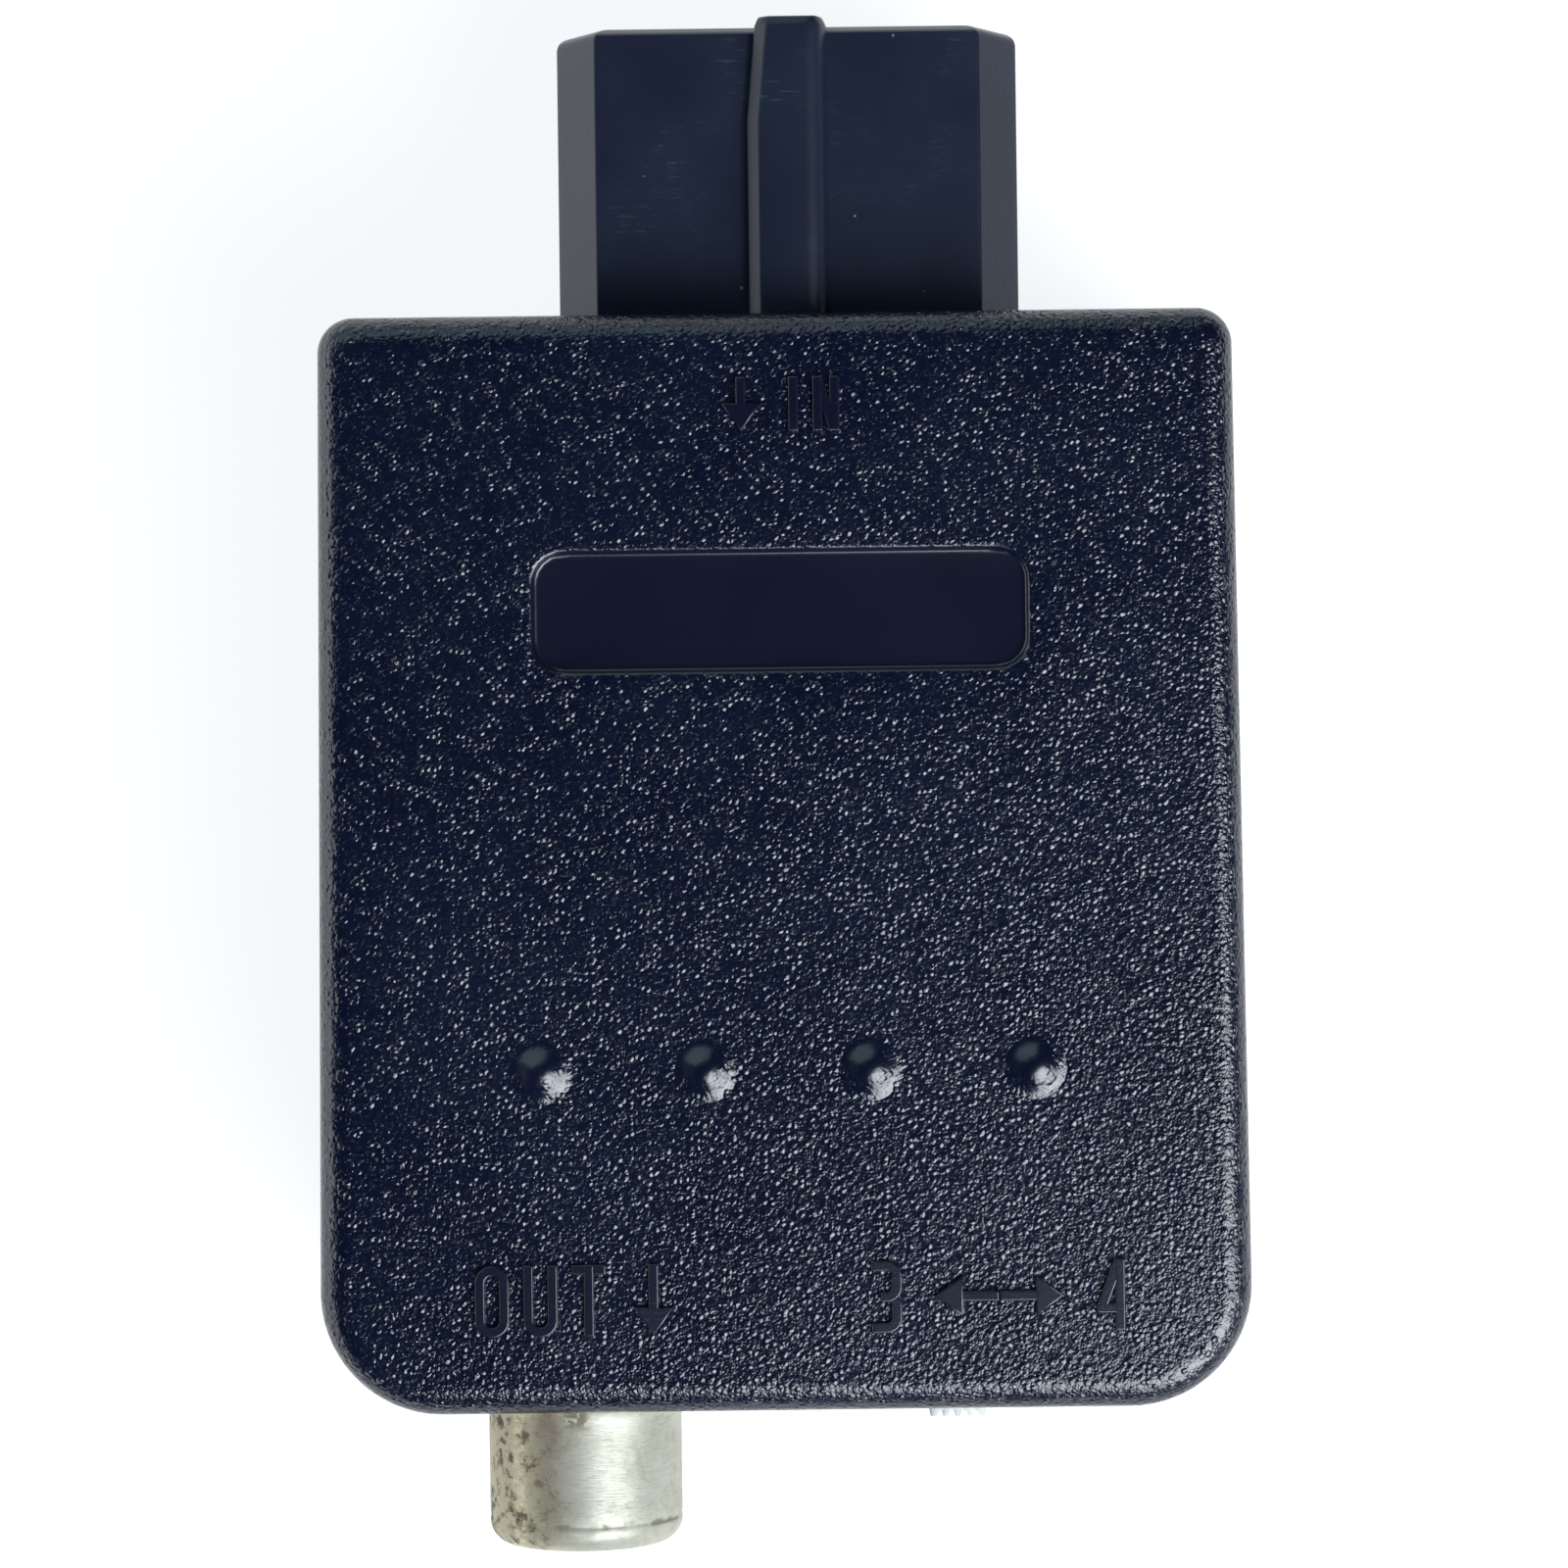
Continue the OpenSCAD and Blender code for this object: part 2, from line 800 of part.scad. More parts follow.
// Plan of the plug with its small tip corners
function plug_plan() =
  let (w = plug_width / 2, c = tip_corner, n = corner_steps / 2)
  concat(
    [[-w, plug_back], [w, plug_back]],
    [for (i = [0 : n]) let (a = 90 * i / n) [w - c + c * cos(a), plug_tip - c + c * sin(a)]],
    [for (i = [0 : n]) let (a = 90 + 90 * i / n) [-w + c + c * cos(a), plug_tip - c + c * sin(a)]]
  );

// Side of the plug with its bevelled tip
function plug_side() =
  let (t = plug_thickness / 2, b = tip_bevel)
  [
    [plug_back, -t], [plug_tip - b, -t], [plug_tip, -t + b],
    [plug_tip, t - b], [plug_tip - b, t], [plug_back, t]
  ];

module contact_places() {
  for (i = [0 : contact_count - 1])
    translate([plug_offset + (i - (contact_count - 1) / 2) * contact_pitch, 0, 0])
      children();
}

// Ways for the contacts, wider than the strip by the fit gap
module contact_ways(y_low, y_high) {
  contact_places()
    centred_box(
      0, y_low, y_high, contact_z - fit_gap, contact_z + contact_strip + fit_gap,
      contact_width + 2 * fit_gap
    );
}

module key_rib() {
  w = key_width / 2;
  top = plug_tip + key_tip;
  base = axis_z + plug_thickness / 2;
  translate([plug_offset, 0, base - key_edge])
    linear_extrude(key_height + key_edge)
      polygon([
        [-w, plug_end + case_gap], [w, plug_end + case_gap], [w, top - key_edge],
        [w - key_edge, top], [-w + key_taper + key_edge, top], [-w + key_taper, top - key_edge],
        [-w, top - key_taper_length]
      ]);
}

module plug_housing() {
  pocket_front = slot_back - web_thickness;
  color([0.12, 0.14, 0.2])
    difference() {
      union() {
        intersection() {
          plug_prism(0, plug_back, plug_tip);
          translate([plug_offset, 0, 0])
            linear_extrude(case_depth)
              polygon(plug_plan());
          translate([plug_offset - plug_width, 0, axis_z])
            rotate([90, 0, 90])
              linear_extrude(2 * plug_width)
                polygon(plug_side());
        }
        plug_prism(flange_grow, rib_y + rib_thickness + fit_gap, plug_inner - fit_gap);
        key_rib();
      }
      centred_box(
        plug_offset, slot_back, plug_tip + over,
        axis_z - slot_height / 2, axis_z + slot_height / 2, slot_width
      );
      centred_box(
        plug_offset, plug_back - over, pocket_front,
        axis_z - pocket_height / 2, axis_z + pocket_height / 2, pocket_width
      );
      contact_ways(plug_back - over, slot_back + over);
    }
}

module contact_retainer() {
  color([0.2, 0.2, 0.22])
    difference() {
      centred_box(
        plug_offset, plug_back + fit_gap, slot_back - web_thickness - fit_gap,
        axis_z - pocket_height / 2 + fit_gap, axis_z + pocket_height / 2 - fit_gap,
        pocket_width - 2 * fit_gap
      );
      contact_ways(plug_back - over, slot_back);
    }
}

// Side view of one contact: sprung crest, beam, leg and foot
function contact_side() =
  let (
    tip = plug_tip - contact_setback,
    crest = tip - contact_crest,
    shoulder = crest - contact_ramp,
    heel = plug_back - 2 * contact_strip,
    z = contact_z,
    t = contact_strip
  )
  [
    [tip, z], [crest, z + contact_rise], [shoulder, z], [heel + t, z],
    [heel + t, board_top], [heel - contact_foot, board_top],
    [heel - contact_foot, board_top + t], [heel, board_top + t],
    [heel, z + t], [shoulder, z + t], [crest, z + contact_rise + t], [tip, z + t]
  ];

module plug_contacts() {
  color([0.85, 0.7, 0.35])
    contact_places()
      translate([-contact_width / 2, 0, 0])
        rotate([90, 0, 90])
          linear_extrude(contact_width)
            polygon(contact_side());
}

module feed_places() {
  for (i = [0 : feed_count - 1])
    translate([can_x + (i - (feed_count - 1) / 2) * feed_pitch, feed_y, 0])
      children();
}

// Two solder legs of the switch frame, grown by grow for their slots
module switch_legs(grow, z_low, z_high) {
  for (side = [-1, 1])
    centred_box(
      switch_offset + side * (switch_width - sheet) / 2,
      switch_front + leg_inset - grow, switch_front + leg_inset + leg_length + grow,
      z_low, z_high, sheet + 2 * grow
    );
}

module circuit_board() {
  cut = board_corner_cut;
  color([0.5, 0.4, 0.2])
    difference() {
      translate([0, 0, board_bottom])
        linear_extrude(board_thickness)
          polygon([
            [-board_half, board_plug_end], [-board_half, board_jack_end + cut],
            [-board_half + cut, board_jack_end], [board_half - cut, board_jack_end],
            [board_half, board_jack_end + cut], [board_half, board_plug_end]
          ]);
      screw_places()
        translate([0, 0, board_bottom - over])
          cylinder(r = tube_diameter / 2 + tube_gap, h = board_thickness + 2 * over);
      feed_places()
        translate([0, 0, board_bottom - over])
          cylinder(d = feed_hole, h = board_thickness + 2 * over);
      switch_legs(leg_slot_gap, board_bottom - over, board_top + over);
    }
}

module modulator_can() {
  color([0.75, 0.75, 0.72])
    difference() {
      centred_box(can_x, can_jack_side, can_plug_side, frame_bottom, frame_top, can_width);
      centred_box(
        can_x, can_jack_side + sheet, can_plug_side - sheet,
        frame_bottom - over, frame_top + over, can_width - 2 * sheet
      );
      along_jack()
        translate([0, 0, -can_jack_side - sheet - over])
          cylinder(d = spigot_diameter + 2 * fit_gap, h = sheet + 2 * over);
    }
}

// Plate of a can lid with spring tabs over three sides, tabs towards -Z
module can_lid() {
  reach = slip_gap + tab_sheet;
  centred_box(
    can_x, can_jack_side, can_plug_side + reach, 0, sheet, can_width + 2 * reach
  );
  for (side = [-1, 1], along = [1, 3])
    centred_box(
      can_x + side * (can_width / 2 + slip_gap + tab_sheet / 2),
      can_jack_side + can_length * along / 4 - tab_length / 2,
      can_jack_side + can_length * along / 4 + tab_length / 2,
      -tab_height, sheet, tab_sheet
    );
  centred_box(
    can_x, can_plug_side + slip_gap, can_plug_side + reach, -tab_height, sheet, tab_length
  );
}

module can_front_lid() {
  color([0.8, 0.8, 0.77])
    translate([0, 0, frame_top])
      difference() {
        can_lid();
        translate([coil_x, cell_y, -over])
          cylinder(d = tool_hole, h = sheet + 2 * over);
      }
}

module can_rear_lid() {
  color([0.78, 0.78, 0.75])
    translate([0, 0, frame_bottom])
      mirror([0, 0, 1])
        difference() {
          can_lid();
          feed_places()
            translate([0, 0, -over])
              cylinder(d = feed_clear_hole, h = sheet + 2 * over);
        }
}

module modulator_board() {
  color([0.15, 0.4, 0.25])
    difference() {
      centred_box(
        can_x, can_jack_side + sheet + slip_gap, can_plug_side - sheet - slip_gap,
        mod_board_bottom, mod_board_top, can_width - 2 * sheet - 2 * slip_gap
      );
      feed_places()
        translate([0, 0, mod_board_bottom - over])
          cylinder(d = feed_hole, h = mod_board_thickness + 2 * over);
    }
}

module modulator_chip() {
  color([0.1, 0.1, 0.1]) {
    centred_box(
      chip_x, cell_y - chip_length / 2, cell_y + chip_length / 2,
      mod_board_top + chip_lift, mod_board_top + chip_lift + chip_height, chip_width
    );
    for (i = [0 : chip_legs - 1])
      centred_box(
        chip_x, cell_y + (i - (chip_legs - 1) / 2) * chip_pitch - chip_leg / 2,
        cell_y + (i - (chip_legs - 1) / 2) * chip_pitch + chip_leg / 2,
        mod_board_top, mod_board_top + chip_leg_height, chip_width + 2 * chip_leg_reach
      );
  }
}

module chip_parts() {
  color([0.7, 0.6, 0.45])
    for (i = [0 : part_count - 1])
      translate([
        can_x + (i - (part_count - 1) / 2) * part_pitch - part_size.x / 2,
        part_y - part_size.y / 2, mod_board_top
      ])
        cube(part_size);
}

module ceramic_filter() {
  color([0.75, 0.45, 0.15])
    centred_box(
      coil_x, filter_y - filter_depth / 2, filter_y + filter_depth / 2,
      mod_board_top, mod_board_top + filter_height, filter_width
    );
}

module coil_former() {
  color([0.2, 0.25, 0.6])
    translate([coil_x, cell_y, mod_board_top])
      difference() {
        union() {
          translate([-coil_base / 2, -coil_base / 2, 0])
            cube([coil_base, coil_base, coil_base_height]);
          cylinder(d = former_diameter, h = former_height);
        }
        translate([0, 0, former_floor])
          cylinder(r = slug_radius + slug_gap, h = former_height);
      }
}

module coil_winding() {
  color([0.72, 0.4, 0.2])
    translate([coil_x, cell_y, mod_board_top + coil_base_height])
      difference() {
        cylinder(r = winding_radius, h = winding_height);
        translate([0, 0, -over])
          cylinder(r = winding_radius - winding_wall, h = winding_height + 2 * over);
      }
}

module tuning_slug() {
  color([0.2, 0.2, 0.2])
    translate([coil_x, cell_y, mod_board_top + slug_lift])
      difference() {
        cylinder(r = slug_radius, h = slug_length);
        translate([0, 0, -over])
          cylinder(d = slug_hex, h = slug_length + 2 * over, $fn = 6);
      }
}

module feed_pins() {
  low = board_bottom - pin_tail;
  color([0.8, 0.78, 0.7])
    feed_places()
      translate([-feed_width / 2, -feed_width / 2, low])
        cube([feed_width, feed_width, mod_board_top + feed_above - low]);
}

module jack_sleeve() {
  r = jack_diameter / 2;
  tip = -jack_tip;
  seat = -can_jack_side;
  flange = -jack_flange_y;
  collar = -jack_end + collar_reach;
  n = corner_steps;
  color([0.78, 0.76, 0.72])
    along_jack()
      rotate_extrude()
        polygon(concat(
          [
            [jack_bore / 2, seat], [flange_diameter / 2, seat], [flange_diameter / 2, flange],
            [collar_diameter / 2, flange], [collar_diameter / 2, collar], [r, collar]
          ],
          [
            for (i = [0 : n])
              let (a = 90 * i / n)
              [
                r - jack_rim_round + jack_rim_round * cos(a),
                tip - jack_rim_round + jack_rim_round * sin(a)
              ]
          ],
          [
            [jack_mouth / 2, tip], [jack_mouth / 2, tip - rim_thickness],
            [jack_bore / 2, tip - rim_thickness]
          ]
        ));
}

module jack_insulator() {
  tip = -jack_tip;
  shoulder = tip - rim_thickness - slip_gap;
  seat = -can_jack_side;
  face = tip - insulator_recess;
  body_r = jack_bore / 2 - slip_gap;
  nose_r = jack_mouth / 2 - slip_gap;
  tube_r = pin_bore / 2 + pin_tube_wall + slip_gap;
  tube_floor = seat + pin_tube_start - slip_gap;
  tail_r = tail_diameter / 2 + slip_gap;
  color([0.85, 0.84, 0.8])
    along_jack()
      rotate_extrude()
        polygon([
          [tail_r, seat - spigot_length], [spigot_diameter / 2, seat - spigot_length],
          [spigot_diameter / 2, seat], [body_r, seat], [body_r, shoulder], [nose_r, shoulder],
          [nose_r, face], [insulator_entry / 2, face],
          [insulator_entry / 2, face - insulator_face], [tube_r, face - insulator_face],
          [tube_r, tube_floor], [tail_r, tube_floor]
        ]);
}

module jack_contact() {
  seat = -can_jack_side;
  mouth = -jack_tip - insulator_recess - insulator_face - slip_gap;
  floor_at = seat + pin_tube_start;
  tail_end = seat - spigot_length - tail_tab;
  color([0.8, 0.75, 0.6]) {
    along_jack()
      difference() {
        union() {
          translate([0, 0, floor_at])
            cylinder(r = pin_bore / 2 + pin_tube_wall, h = mouth - floor_at);
          translate([0, 0, tail_end])
            cylinder(d = tail_diameter, h = floor_at - tail_end + pin_tube_floor);
        }
        translate([0, 0, floor_at + pin_tube_floor])
          cylinder(d = pin_bore, h = mouth - floor_at);
        for (turn = [0, 90])
          rotate([0, 0, turn])
            translate([-pin_bore, -pin_slit / 2, mouth - pin_slit_length])
              cube([2 * pin_bore, pin_slit, pin_slit_length + over]);
      }
    centred_box(
      -jack_offset, -tail_end - tail_tab / 2, -tail_end,
      mod_board_top, axis_z, tail_tab
    );
  }
}

module switch_frame() {
  z_low = axis_z - switch_height / 2;
  z_high = axis_z + switch_height / 2;
  color([0.7, 0.7, 0.68]) {
    difference() {
      centred_box(switch_offset, switch_front, switch_back, z_low, z_high, switch_width);
      centred_box(
        switch_offset, switch_front + sheet, switch_back + over,
        z_low + sheet, z_high - sheet, switch_inner_width
      );
      centred_box(
        switch_offset, switch_front - over, switch_front + sheet + over,
        axis_z - knob_height / 2 - knob_gap, axis_z + knob_height / 2 + knob_gap,
        knob_width + knob_travel + 2 * knob_gap
      );
    }
    switch_legs(0, board_bottom - pin_tail, z_low + sheet);
  }
}

module terminal_places() {
  for (i = [-1 : 1])
    translate([switch_offset + i * terminal_pitch, 0, 0])
      children();
}

module switch_base() {
  z_low = axis_z - switch_inner_height / 2 + slip_gap;
  z_high = axis_z + switch_inner_height / 2 - slip_gap;
  t = terminal_strip / 2 + fit_gap;
  color([0.45, 0.3, 0.18])
    difference() {
      centred_box(
        switch_offset, switch_base_y, switch_back, z_low, z_high,
        switch_inner_width - 2 * slip_gap
      );
      terminal_places()
        centred_box(
          0, switch_base_y - over, switch_back + over, axis_z - t, axis_z + t,
          terminal_width + 2 * fit_gap
        );
    }
}

module switch_terminals() {
  t = terminal_strip;
  bend = switch_back + fit_gap;
  color([0.8, 0.78, 0.72])
    terminal_places() {
      centred_box(0, pad_y, switch_base_y, axis_z - pad_height / 2, axis_z + pad_height / 2, pad_width);
      centred_box(0, pad_y, bend + t, axis_z - t / 2, axis_z + t / 2, terminal_width);
      centred_box(0, bend, bend + t, board_top, axis_z + t / 2, terminal_width);
    }
}

// Slider with its knob, whose tip has square notches between ribs
module switch_slider() {
  pitch = knob_width / (2 * knob_ribs - 1);
  color([0.8, 0.8, 0.8])
    difference() {
      union() {
        centred_box(
          knob_rest_x, slider_y, slider_back,
          axis_z - slider_height / 2, axis_z + slider_height / 2, slider_length
        );
        centred_box(
          knob_rest_x, knob_tip, slider_y + slider_thickness / 2,
          axis_z - knob_height / 2, axis_z + knob_height / 2, knob_width
        );
      }
      for (i = [1 : knob_ribs - 1])
        centred_box(
          knob_rest_x - knob_width / 2 + (2 * i - 1 / 2) * pitch,
          knob_tip - over, knob_tip + rib_notch, 0, case_depth, pitch
        );
    }
}

module switch_wiper() {
  low = axis_z - wiper_height / 2;
  high = axis_z + wiper_height / 2;
  color([0.85, 0.65, 0.35]) {
    centred_box(knob_rest_x, slider_back, slider_back + wiper_strip, low, high, wiper_length);
    for (side = [-1, 1])
      centred_box(
        knob_rest_x + side * terminal_pitch / 2, slider_back, pad_y - wiper_gap,
        low, high, wiper_bump
      );
  }
}

// Can of an electrolytic capacitor with its crimp and rounded top
module electrolytic(d) {
  r = d / 2;
  rotate_extrude()
    polygon([
      [0, 0], [r, 0], [r, cap_crimp_at - cap_crimp], [r - cap_crimp, cap_crimp_at],
      [r, cap_crimp_at + cap_crimp], [r, cap_height - cap_edge], [r - cap_edge, cap_height],
      [0, cap_height]
    ]);
}

module electrolytic_capacitors() {
  color([0.15, 0.17, 0.35])
    translate([0, 0, board_top]) {
      translate([big_cap_x, plug_row, 0])
        electrolytic(big_cap);
      translate([small_cap_x, plug_row, 0])
        electrolytic(small_cap);
      translate([jack_row_cap_x, jack_row, 0])
        electrolytic(small_cap);
    }
}

// Disc on edge with two short leads
module disc_capacitor() {
  r = disc_diameter / 2;
  translate([0, disc_thickness / 2, disc_lift + r])
    rotate([90, 0, 0])
      cylinder(r = r, h = disc_thickness);
  for (side = [-1, 1])
    translate([side * r / 2, 0, 0])
      cylinder(d = lead, h = disc_lift + r / 2);
}

module ceramic_capacitors() {
  color([0.75, 0.5, 0.25])
    for (i = [0 : disc_count - 1])
      translate([disc_x, middle_row - disc_first + disc_pitch * i, board_top])
        disc_capacitor();
}

module resistor() {
  r = resistor_diameter / 2;
  z = resistor_lift + r;
  cap = resistor_body * resistor_cap_share;
  translate([0, -resistor_body / 2, z])
    rotate([-90, 0, 0])
      cylinder(r = r - resistor_cap, h = resistor_body);
  for (side = [-1, 1]) {
    translate([0, side * (resistor_body - cap) / 2 - cap / 2, z])
      rotate([-90, 0, 0])
        cylinder(r = r, h = cap);
    translate([0, side * resistor_span / 2, 0])
      cylinder(d = lead, h = z + lead / 2);
  }
  translate([0, -resistor_span / 2, z])
    rotate([-90, 0, 0])
      cylinder(d = lead, h = resistor_span);
}

module resistors() {
  color([0.7, 0.6, 0.4])
    for (i = [0 : resistor_count - 1])
      translate([resistor_x + resistor_pitch * i, middle_row, board_top])
        resistor();
}

module transistor() {
  for (i = [-1 : 1])
    translate([i * transistor_pitch, 0, 0])
      cylinder(d = lead, h = transistor_lift + lead);
  translate([0, 0, transistor_lift])
    difference() {
      cylinder(d = transistor_diameter, h = transistor_height);
      translate([-transistor_diameter, -transistor_diameter - transistor_flat, -over])
        cube([2 * transistor_diameter, transistor_diameter, transistor_height + 2 * over]);
    }
}

module transistors() {
  color([0.1, 0.1, 0.11])
    for (i = [0 : transistor_count - 1])
      translate([first_transistor_x + (transistor_diameter + row_gap) * i, plug_row, board_top])
        transistor();
}

module choke() {
  r = choke_diameter / 2;
  color([0.25, 0.25, 0.27])
    translate([choke_x, jack_row, board_top])
      rotate_extrude()
        polygon([
          [0, 0], [r, 0], [r, choke_flange], [choke_waist / 2, choke_flange],
          [choke_waist / 2, choke_height - choke_flange], [r, choke_height - choke_flange],
          [r, choke_height], [0, choke_height]
        ]);
}

front_shell();
rear_shell();
case_screws();
plug_housing();
contact_retainer();
plug_contacts();
circuit_board();
modulator_can();
can_front_lid();
can_rear_lid();
modulator_board();
modulator_chip();
chip_parts();
ceramic_filter();
coil_former();
coil_winding();
tuning_slug();
feed_pins();
jack_sleeve();
jack_insulator();
jack_contact();
switch_frame();
switch_base();
switch_terminals();
switch_slider();
switch_wiper();
electrolytic_capacitors();
ceramic_capacitors();
resistors();
transistors();
choke();
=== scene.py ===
import math

import bmesh
import bpy
import numpy as np
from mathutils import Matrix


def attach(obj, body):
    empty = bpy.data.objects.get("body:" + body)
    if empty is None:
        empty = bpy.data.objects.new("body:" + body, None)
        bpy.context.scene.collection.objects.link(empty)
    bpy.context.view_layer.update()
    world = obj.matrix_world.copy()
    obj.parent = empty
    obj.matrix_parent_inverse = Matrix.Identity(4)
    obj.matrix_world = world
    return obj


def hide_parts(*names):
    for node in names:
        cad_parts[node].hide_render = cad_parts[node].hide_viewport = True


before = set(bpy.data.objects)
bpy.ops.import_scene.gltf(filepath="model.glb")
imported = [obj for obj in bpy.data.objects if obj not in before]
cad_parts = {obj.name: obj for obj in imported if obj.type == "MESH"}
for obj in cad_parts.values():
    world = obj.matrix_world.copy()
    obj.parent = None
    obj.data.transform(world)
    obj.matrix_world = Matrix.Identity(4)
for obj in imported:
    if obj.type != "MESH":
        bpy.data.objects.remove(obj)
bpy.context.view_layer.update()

mm = 0.001
midPlane = 8.75  # height of the plane that halves the case, plug and jack


# shader helpers: a wire is an output socket, and a sum on wires adds Math nodes

class Wire:
    def __init__(self, recipe, socket):
        self.recipe, self.socket = recipe, socket

    def maths(self, operation, first, second=0.0):
        return self.recipe.node("ShaderNodeMath", {"operation": operation},
                                {0: first, 1: second})

    def __add__(self, other): return self.maths("ADD", self, other)
    def __radd__(self, other): return self.maths("ADD", other, self)
    def __sub__(self, other): return self.maths("SUBTRACT", self, other)
    def __rsub__(self, other): return self.maths("SUBTRACT", other, self)
    def __mul__(self, other): return self.maths("MULTIPLY", self, other)
    def __rmul__(self, other): return self.maths("MULTIPLY", other, self)
    def __pow__(self, other): return self.maths("POWER", self, other)
    def __rpow__(self, other): return self.maths("POWER", other, self)
    def size(self): return self.maths("ABSOLUTE", self)
    def most(self, other): return self.maths("MAXIMUM", self, other)
    def snap(self, other): return self.maths("SNAP", self, other)
    def sine(self): return self.maths("SINE", self)

    def step(self, low, high):
        # smooth rise from 0 at low to 1 at high; a low above high gives a fall
        return self.recipe.node("ShaderNodeMapRange", {"interpolation_type": "SMOOTHSTEP"},
                                {"Value": self, "From Min": low, "From Max": high})


class Recipe:
    def __init__(self, name, world=None):
        self.material = world or bpy.data.materials.new(name)
        self.material.use_nodes = True
        self.tree = self.material.node_tree
        self.tree.nodes.clear()
        self.place = self.node("ShaderNodeTexCoord", out="Generated" if world else "Object")
        if not world:
            self.surface = self.tree.nodes.new("ShaderNodeBsdfPrincipled")
            self.node("ShaderNodeOutputMaterial", values={0: Wire(self, self.surface.outputs[0])})

    def node(self, kind, settings=None, values=None, out=0):
        made = self.tree.nodes.new(kind)
        for key, value in (settings or {}).items():
            setattr(made, key, value)
        for key, value in (values or {}).items():
            self.join(value, made.inputs[key])
        return Wire(self, made.outputs[out]) if len(made.outputs) else None

    def join(self, value, socket):
        if isinstance(value, Wire):
            self.tree.links.new(value.socket, socket)
        elif isinstance(value, tuple) and len(value) == 3 and socket.type == "RGBA":
            socket.default_value = (*value, 1)
        else:
            socket.default_value = value

    def axes(self, scale=1 / mm):
        # the piece's own x, y and z, in millimetres unless scale says otherwise
        split = self.node("ShaderNodeSeparateXYZ", values={0: self.place})
        sockets = split.socket.node.outputs
        return [Wire(self, sockets[i]) * scale for i in range(3)]

    def noise(self, blob, detail=2.0, rough=0.5, place=None):
        # cloudy pattern whose blobs are about blob millimetres across
        return self.node("ShaderNodeTexNoise", values={
            "Vector": place or self.place, "Scale": 1 / (blob * mm), "Detail": detail,
            "Roughness": rough})

    def cells(self, pitch, place=None):
        # distance to the nearest of points scattered pitch millimetres apart, and
        # a chance from 0 to 1 that belongs to that point
        near = self.node("ShaderNodeTexVoronoi", values={
            "Vector": place or self.place, "Scale": 1 / (pitch * mm)})
        colour = Wire(self, near.socket.node.outputs["Color"])
        return near, self.node("ShaderNodeSeparateXYZ", values={0: colour})

    def stretched(self, factors):
        # places squeezed by a factor along each axis, so a pattern on them is drawn out
        return self.node("ShaderNodeVectorMath", {"operation": "MULTIPLY"},
                         {0: self.place, 1: factors})

    def warped(self, blob, reach):
        # places pushed about by up to reach millimetres, in clouds blob millimetres across
        push = Wire(self, self.noise(blob, 1.0).socket.node.outputs["Color"])
        return self.node("ShaderNodeVectorMath", {"operation": "MULTIPLY_ADD"},
                         {0: push, 1: (reach * mm,) * 3, 2: self.place})

    def blend(self, share, colourA, colourB):
        return self.node("ShaderNodeMix", {"data_type": "RGBA"},
                         {0: share, 6: colourA, 7: colourB}, out=2)

    def bump(self, height, depth, under=None):
        # height runs 0 to 1 and stands for depth in millimetres
        values = {"Height": height, "Distance": depth * mm, "Strength": 1.0}
        if under:
            values["Normal"] = under
        return self.node("ShaderNodeBump", values=values)

    def done(self, **sockets):
        for key, value in sockets.items():
            self.join(value, self.surface.inputs[key.replace("_", " ")])
        return self.material


# mesh helpers

def ringSurface(rings, startPole=None, endPole=None, loop=False):
    # Quads between neighbouring closed rings of equal length; a pole closes an
    # end with a fan, and loop joins the last ring to the first
    rings = np.asarray(rings, float)
    rows, columns = rings.shape[:2]
    points = rings.reshape(-1, 3)
    last = rows if loop else rows - 1
    i, j = np.meshgrid(np.arange(last), np.arange(columns), indexing="ij")
    k, down = (j + 1) % columns, (i + 1) % rows
    faces = np.stack([i * columns + j, i * columns + k, down * columns + k, down * columns + j], -1)
    faces = faces.reshape(-1, 4).tolist()
    j = np.arange(columns)
    k = (j + 1) % columns
    if startPole is not None:
        points = np.vstack([points, [startPole]])
        faces += np.stack([k, j, np.full(columns, len(points) - 1)], -1).tolist()
    if endPole is not None:
        points = np.vstack([points, [endPole]])
        base = (rows - 1) * columns
        faces += np.stack([base + j, base + k, np.full(columns, len(points) - 1)], -1).tolist()
    return points, faces


def joined(parts):
    # One vertex array and face list from several
    points, faces, start = [], [], 0
    for partPoints, partFaces in parts:
        points.append(np.asarray(partPoints, float))
        faces += [[start + v for v in face] for face in partFaces]
        start += len(partPoints)
    return np.vstack(points), faces


def addPiece(name, shape, body, material, replaces=(), sharp=35, flip=False):
    # Puts points and faces into a smooth mesh, creased where faces meet at over sharp
    # degrees; flip turns every face over
    points, faces = shape
    if flip:
        faces = [face[::-1] for face in faces]
    mesh = bpy.data.meshes.new(name)
    mesh.from_pydata((np.asarray(points) * mm).tolist(), [], faces)
    mesh.validate()
    mesh.shade_smooth()
    mesh.set_sharp_from_angle(angle=math.radians(sharp))
    mesh.materials.append(material)
    piece = bpy.data.objects.new(name, mesh)
    bpy.context.scene.collection.objects.link(piece)
    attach(piece, body)
    if replaces:
        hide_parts(*replaces)


softening = {"merge": 0.001, "sliver": 0.0005, "steps": 2, "sharpEdge": 40, "crease": 30}


